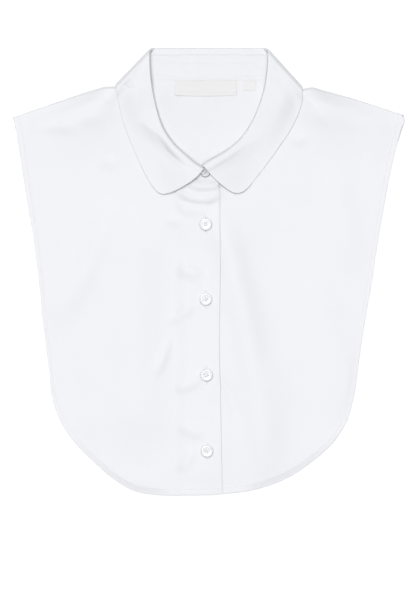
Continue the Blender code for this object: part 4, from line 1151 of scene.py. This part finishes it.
def settle_leaf(half, side, below):
    """Rounds the leaf beside its side fold and lets its outer strip sink onto the front under it."""
    front = half[len(back_runs) + len(bend_turns):]
    top = front.shape[1] - len(top_parts)
    height = front[..., 2]
    raised = np.clip((height - height[:, :1]) / (height[:, top:top + 1] - height[:, :1]), 0.0, 1.0)
    inside = away_from_crease(side, side["sign"] * front[..., 0], front[..., 1])
    outer = run_back(front, 1)
    swell = ease(inside / FOLD_DOME_RUN) * (1.0 - ease((inside - FOLD_DOME_RUN) / 60.0))
    lift, reach = APEX_LIFT if side["sign"] < 0 else APEX_LIFT_UNDER
    near = 1.0 - ease(np.hypot(front[..., 0] - APEX[0], front[..., 1] - APEX[1]) / reach)
    behind = ease((run_along(front, 1) - run_along(front, 1)[:, top:top + 1]) / 9.0)
    uneven = 0.14 * unevenness(front[..., 0], front[..., 1], 31, 30.0) * ease(inside / 12.0)
    height += raised * (FOLD_DOME * swell + uneven) + lift * near * behind
    crown = front[:, top:]
    rest = height_over(below, crown[..., 0], crown[..., 1]) + LEAF_HALF + LEAF_SINK_LEFT
    free = run_back(front, 0) / CORNER_FREE[side["sign"]]
    share = (1.0 - ease(outer / LEAF_SINK_RUN)) * ease(inside / 6.0) * ease(free)
    crown[..., 2] -= share[:, top:] * np.maximum(crown[..., 2] - rest, 0.0)


top_parts = edge_shares(31.0, 46, EDGE_STEPS)[len(EDGE_STEPS) - 1:]
leaf_shares = edge_shares(150.0, 110, EDGE_STEPS)[len(EDGE_STEPS):]
leaf_left = leaf_half(SIDES["left"], top_parts, back_runs, bend_turns, leaf_shares)
leaf_right = leaf_half(SIDES["right"], top_parts, back_runs, bend_turns, leaf_shares)
below = np.concatenate([top_points(right_front), top_points(left_front)])
settle_leaf(leaf_left, SIDES["left"], below)
settle_leaf(leaf_right, SIDES["right"], below)
# The leaf is the same cotton in a darker copy: painted shade of the turned-down collar
leaf, leaf_rows = add_band("collar_leaf", leaf_left, leaf_right, LEAF_HALF, LEAF_ROUNDS, LEAF_ROWS,
                           make_cotton("cotton_collar_painted_shade", (0.785, 0.789, 0.822)))

# The labels
# A wide woven label and a small tab, both bare, are caught in the back neck seam by their upper
# edges and hang down over the inside of the back panel.
LABELS = {
    # left, right, lower edge, bow of the lower edge, lift of the lower edge, lift of its left corner
    "neck_label": (-31.7, 26.4, 165.6, 0.8, 0.10, 0.7),
    "size_label": (33.1, 44.4, 169.9, 0.0, 0.10, 0.0),
}
LABEL_HALF = 0.16            # half the thickness of the tape
LABEL_OVER = 0.10            # gap under it


def make_tape(name, colour):
    """Woven label tape: fine ribs across it and a dull sheen."""
    material, tree, shader = start_material(name, {
        "Base Color": (*colour, 1.0), "Roughness": 0.48, "Specular IOR Level": 0.35})
    place = tree.nodes.new("ShaderNodeAttribute")
    place.attribute_name = "cloth_place"
    ribs = new_node(tree, "TexWave", {"Scale": 0.8, "Vector": place.outputs["Vector"]})
    ribs.bands_direction = "Y"
    add_bump(tree, shader, ribs.outputs["Fac"], 0.3, 0.00006)
    return material


tape = make_tape("label_tape_weave", (0.747, 0.746, 0.748))
neck_y = ROLL_BACK_Y - STAND_WIDTH - JOIN
labels = {}
back_top = top_points(back_piece)
back_top = back_top[(np.abs(back_top[:, 0]) < 60.0) & (back_top[:, 1] > 150.0)]
for name, (left, right, low, bow, lift, corner) in LABELS.items():
    over = edge_shares(right - left, 40, EDGE_STEPS)
    down = edge_shares(neck_y - low, 16, EDGE_STEPS)[:, None]
    x = np.broadcast_to(left + (right - left) * over, (len(down), len(over)))
    y = (neck_y - 0.05) + (low - bow * 4 * over * (1 - over) - neck_y + 0.05) * down
    z = height_over(back_top, x, y) + LABEL_OVER + LABEL_HALF + lift * ease(down * 0.9)
    z = z + corner * np.exp(-(((1 - down) * 14.0) ** 2 + (over * 58.0) ** 2) / 30.0)
    z = z + 0.12 * unevenness(x, y, 3, 30.0) * ease(down * 3)
    middle = np.dstack([x, y, z])
    offset = -normals(middle) * half_inside(LABEL_HALF, from_ends(middle, 0), from_ends(middle, 1))
    labels[name] = add_cloth(name + "_cloth", middle + offset, middle - offset, middle[..., :2], tape)
    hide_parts(name)
    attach(labels[name], "root")

# The buttons
# Four pearly buttons close the front and a smaller one the stand. Each has a rounded rim, a
# shallow dish and four holes and is sewn on with white thread; the four on the front have worked buttonholes.
BUTTONS = {
    # x, y, radius, turn of its holes in degrees
    "button_1": (-2.8, 44.5, 6.0, 8.0),
    "button_2": (-2.7, -26.0, 6.0, 52.0),
    "button_3": (-2.1, -97.1, 6.0, 30.0),
    "button_4": (-1.6, -168.5, 6.0, 64.0),
    "stand_button": (-3.2, 93.2, 4.7, 20.0),
}
BUTTON_HEIGHT = 1.7
BUTTON_OVER = 0.12           # gap between a button and the cloth under it
BUTTON_HOLE_DEPTH = 0.52     # share of the height
BUTTONHOLE = 17.0            # length of a buttonhole
BUTTONHOLE_HALF = 0.62       # half the distance between its two sides
ZIGZAG = 0.42                # from one stitch of it to the next
BUTTON_HOLE_OUT = 0.235      # share of the radius from the middle to a hole
BUTTON_HOLE = 0.105          # share of the radius of a hole
THREAD = 0.16                # radius of the sewing thread
# Half section from the middle of the underside round to the middle of the dish: share of
# the radius, share of the height
BUTTON_PROFILE = [(0.0, 0.0), (0.45, 0.0), (0.80, 0.02), (0.93, 0.14), (0.99, 0.32), (1.0, 0.44),
                  (0.985, 0.60), (0.94, 0.76), (0.88, 0.88), (0.80, 0.97), (0.72, 1.0), (0.65, 0.97),
                  (0.58, 0.90), (0.50, 0.86), (0.36, 0.845), (0.18, 0.84), (0.0, 0.84)]


def make_pearl(name, dark, light):
    """Pearly resin: a clear hard face over cloudy layers that shift a little in colour."""
    material, tree, shader = start_material(name, {
        "Roughness": 0.22, "Specular IOR Level": 0.6, "Coat Weight": 0.6, "Coat Roughness": 0.08})
    place = tree.nodes.new("ShaderNodeTexCoord")
    cloud = new_node(tree, "TexNoise", {"Scale": 240.0, "Detail": 3.0, "Distortion": 1.6,
                                        "Vector": place.outputs["Object"]})
    tint = new_node(tree, "ValToRGB", {"Fac": cloud.outputs["Fac"]})
    for stop, position, colour in zip(tint.color_ramp.elements, (0.32, 0.66), (dark, light)):
        stop.position = position
        stop.color = (*colour, 1.0)
    fill(tree, shader, {"Base Color": tint.outputs["Color"]})
    return material


def turn_button(name, place, base, material):
    """A button turned from its half section, with its four holes sunk in the dish."""
    x, y, radius, turn = place
    section = curve(BUTTON_PROFILE, np.linspace(0.0, 1.0, 90))
    around = 72
    angle = np.linspace(0.0, 2 * math.pi, around, endpoint=False)
    share = section[1:-1, 0][:, None]
    px = share * np.cos(angle)
    py = share * np.sin(angle)
    height = np.broadcast_to(section[1:-1, 1][:, None], px.shape).copy()
    half_way = len(section) // 2
    heads = math.radians(turn) + math.pi * 0.5 * np.arange(4) + 0.25 * math.pi
    for hx, hy in BUTTON_HOLE_OUT * np.column_stack([np.cos(heads), np.sin(heads)]):
        away = np.hypot(px - hx, py - hy)
        sunk = 1.0 - ease((away - 0.8 * BUTTON_HOLE) / (0.35 * BUTTON_HOLE))
        sunk[:half_way] = 0.0
        height -= BUTTON_HOLE_DEPTH * sunk
    body = np.dstack([x + radius * px, y + radius * py, base + BUTTON_HEIGHT * height])
    level = base + BUTTON_HEIGHT * section[-1, 1]
    tips = np.array([[x, y, base], [x, y, level]])
    quads, fans = rings_to_faces(len(section) - 2, around, 1, True)
    piece = add_mesh(name + "_pearl", np.concatenate([body.reshape(-1, 3), tips]), quads, fans, material)
    holes = np.column_stack([x + radius * BUTTON_HOLE_OUT * np.cos(heads),
                             y + radius * BUTTON_HOLE_OUT * np.sin(heads), np.full(4, level)])
    return piece, holes


def work_buttonhole(name, middle, length, under, material):
    """Close zigzag stitches round a slit: one ribbed rim, straight along both sides."""
    x, y = middle
    end = BUTTONHOLE_HALF
    straight = length - 2 * end
    whole = 2 * straight + 2 * math.pi * end
    steps = 4 * round(whole / ZIGZAG)
    run = np.linspace(0.0, whole, steps, endpoint=False)
    turn = math.pi * end
    # Up the right side, round the top, down the left side, round the bottom
    heading = np.where(run < straight, 0.0,
                       np.where(run < straight + turn, (run - straight) / end,
                                np.where(run < 2 * straight + turn, math.pi, (run - 2 * straight) / end)))
    up = np.where(run < straight, run - 0.5 * straight,
                  np.where(run < straight + turn, 0.5 * straight,
                           np.where(run < 2 * straight + turn, 1.5 * straight + turn - run, -0.5 * straight)))
    outward = np.column_stack([np.cos(heading), np.sin(heading)])
    centre = np.column_stack([np.zeros(steps), up]) + outward * end
    ribs = 0.80 + 0.20 * np.cos(2 * math.pi * np.arange(steps) / 4.0)
    angle = np.linspace(0.0, 2 * math.pi, 9)[:-1]
    wide = 0.46 * np.cos(angle)[None] * ribs[:, None]
    high = 0.15 * np.sin(angle)[None] * ribs[:, None]
    px = x + centre[:, :1] + outward[:, :1] * wide
    py = y + centre[:, 1:] + outward[:, 1:] * wide
    pz = height_over(under, px, py) + 0.04 + high
    points = np.dstack([px, py, pz]).reshape(-1, 3)
    k = np.arange(8)
    after = (k + 1) % 8
    low = (np.arange(steps) * 8)[:, None]
    high_row = (((np.arange(steps) + 1) % steps) * 8)[:, None]
    quads = np.stack([low + k, low + after, high_row + after, high_row + k], -1).reshape(-1, 4)
    return add_mesh(name, points, quads, np.zeros((0, 3), int), material)


pearl = make_pearl("pearl_resin", (0.68, 0.685, 0.71), (0.835, 0.835, 0.86))
# The stand's button is the same pearl in darker colours: painted shade for where it sits between the two
# halves of the collar
pearl_painted_shade = make_pearl("pearl_resin_painted_shade", (0.36, 0.36, 0.39), (0.54, 0.54, 0.57))
front_pieces = []
for name, place in BUTTONS.items():
    under = top_points(stand if name == "stand_button" else right_front)
    near = np.hypot(under[:, 0] - place[0], under[:, 1] - place[1])
    base = under[near < place[2]][:, 2].max() + BUTTON_OVER
    piece, holes = turn_button(name, place, base, pearl_painted_shade if name == "stand_button" else pearl)
    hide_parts(name)
    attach(piece, "root")
    # Two bars of thread side by side between each pair of holes
    bars_start = np.concatenate([holes[[0, 3]], holes[[0, 3]] + [0.0, 0.0, 0.10]])
    bars_end = np.concatenate([holes[[1, 2]], holes[[1, 2]] + [0.0, 0.0, 0.10]])
    way = (bars_end - bars_start) / np.linalg.norm(bars_end - bars_start, axis=1, keepdims=True)
    beside = np.cross([0.0, 0.0, 1.0], way) * 0.6 * THREAD * [[-1.0], [-1.0], [1.0], [1.0]]
    bars = add_stitches(name + "_thread", bars_start + beside, bars_end + beside,
                        np.tile([0.0, 0.0, 1.0], (4, 1)), THREAD, thread)
    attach(bars, "root")
    if name == "stand_button":
        continue
    hole_run = np.array([place[0] + 0.2, place[1]])
    nearby = under[np.hypot(under[:, 0] - place[0], under[:, 1] - place[1]) < 16.0]
    slit = work_buttonhole(name + "_hole", hole_run, BUTTONHOLE, nearby, thread)
    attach(slit, "root")
    front_pieces += [piece, bars, slit]
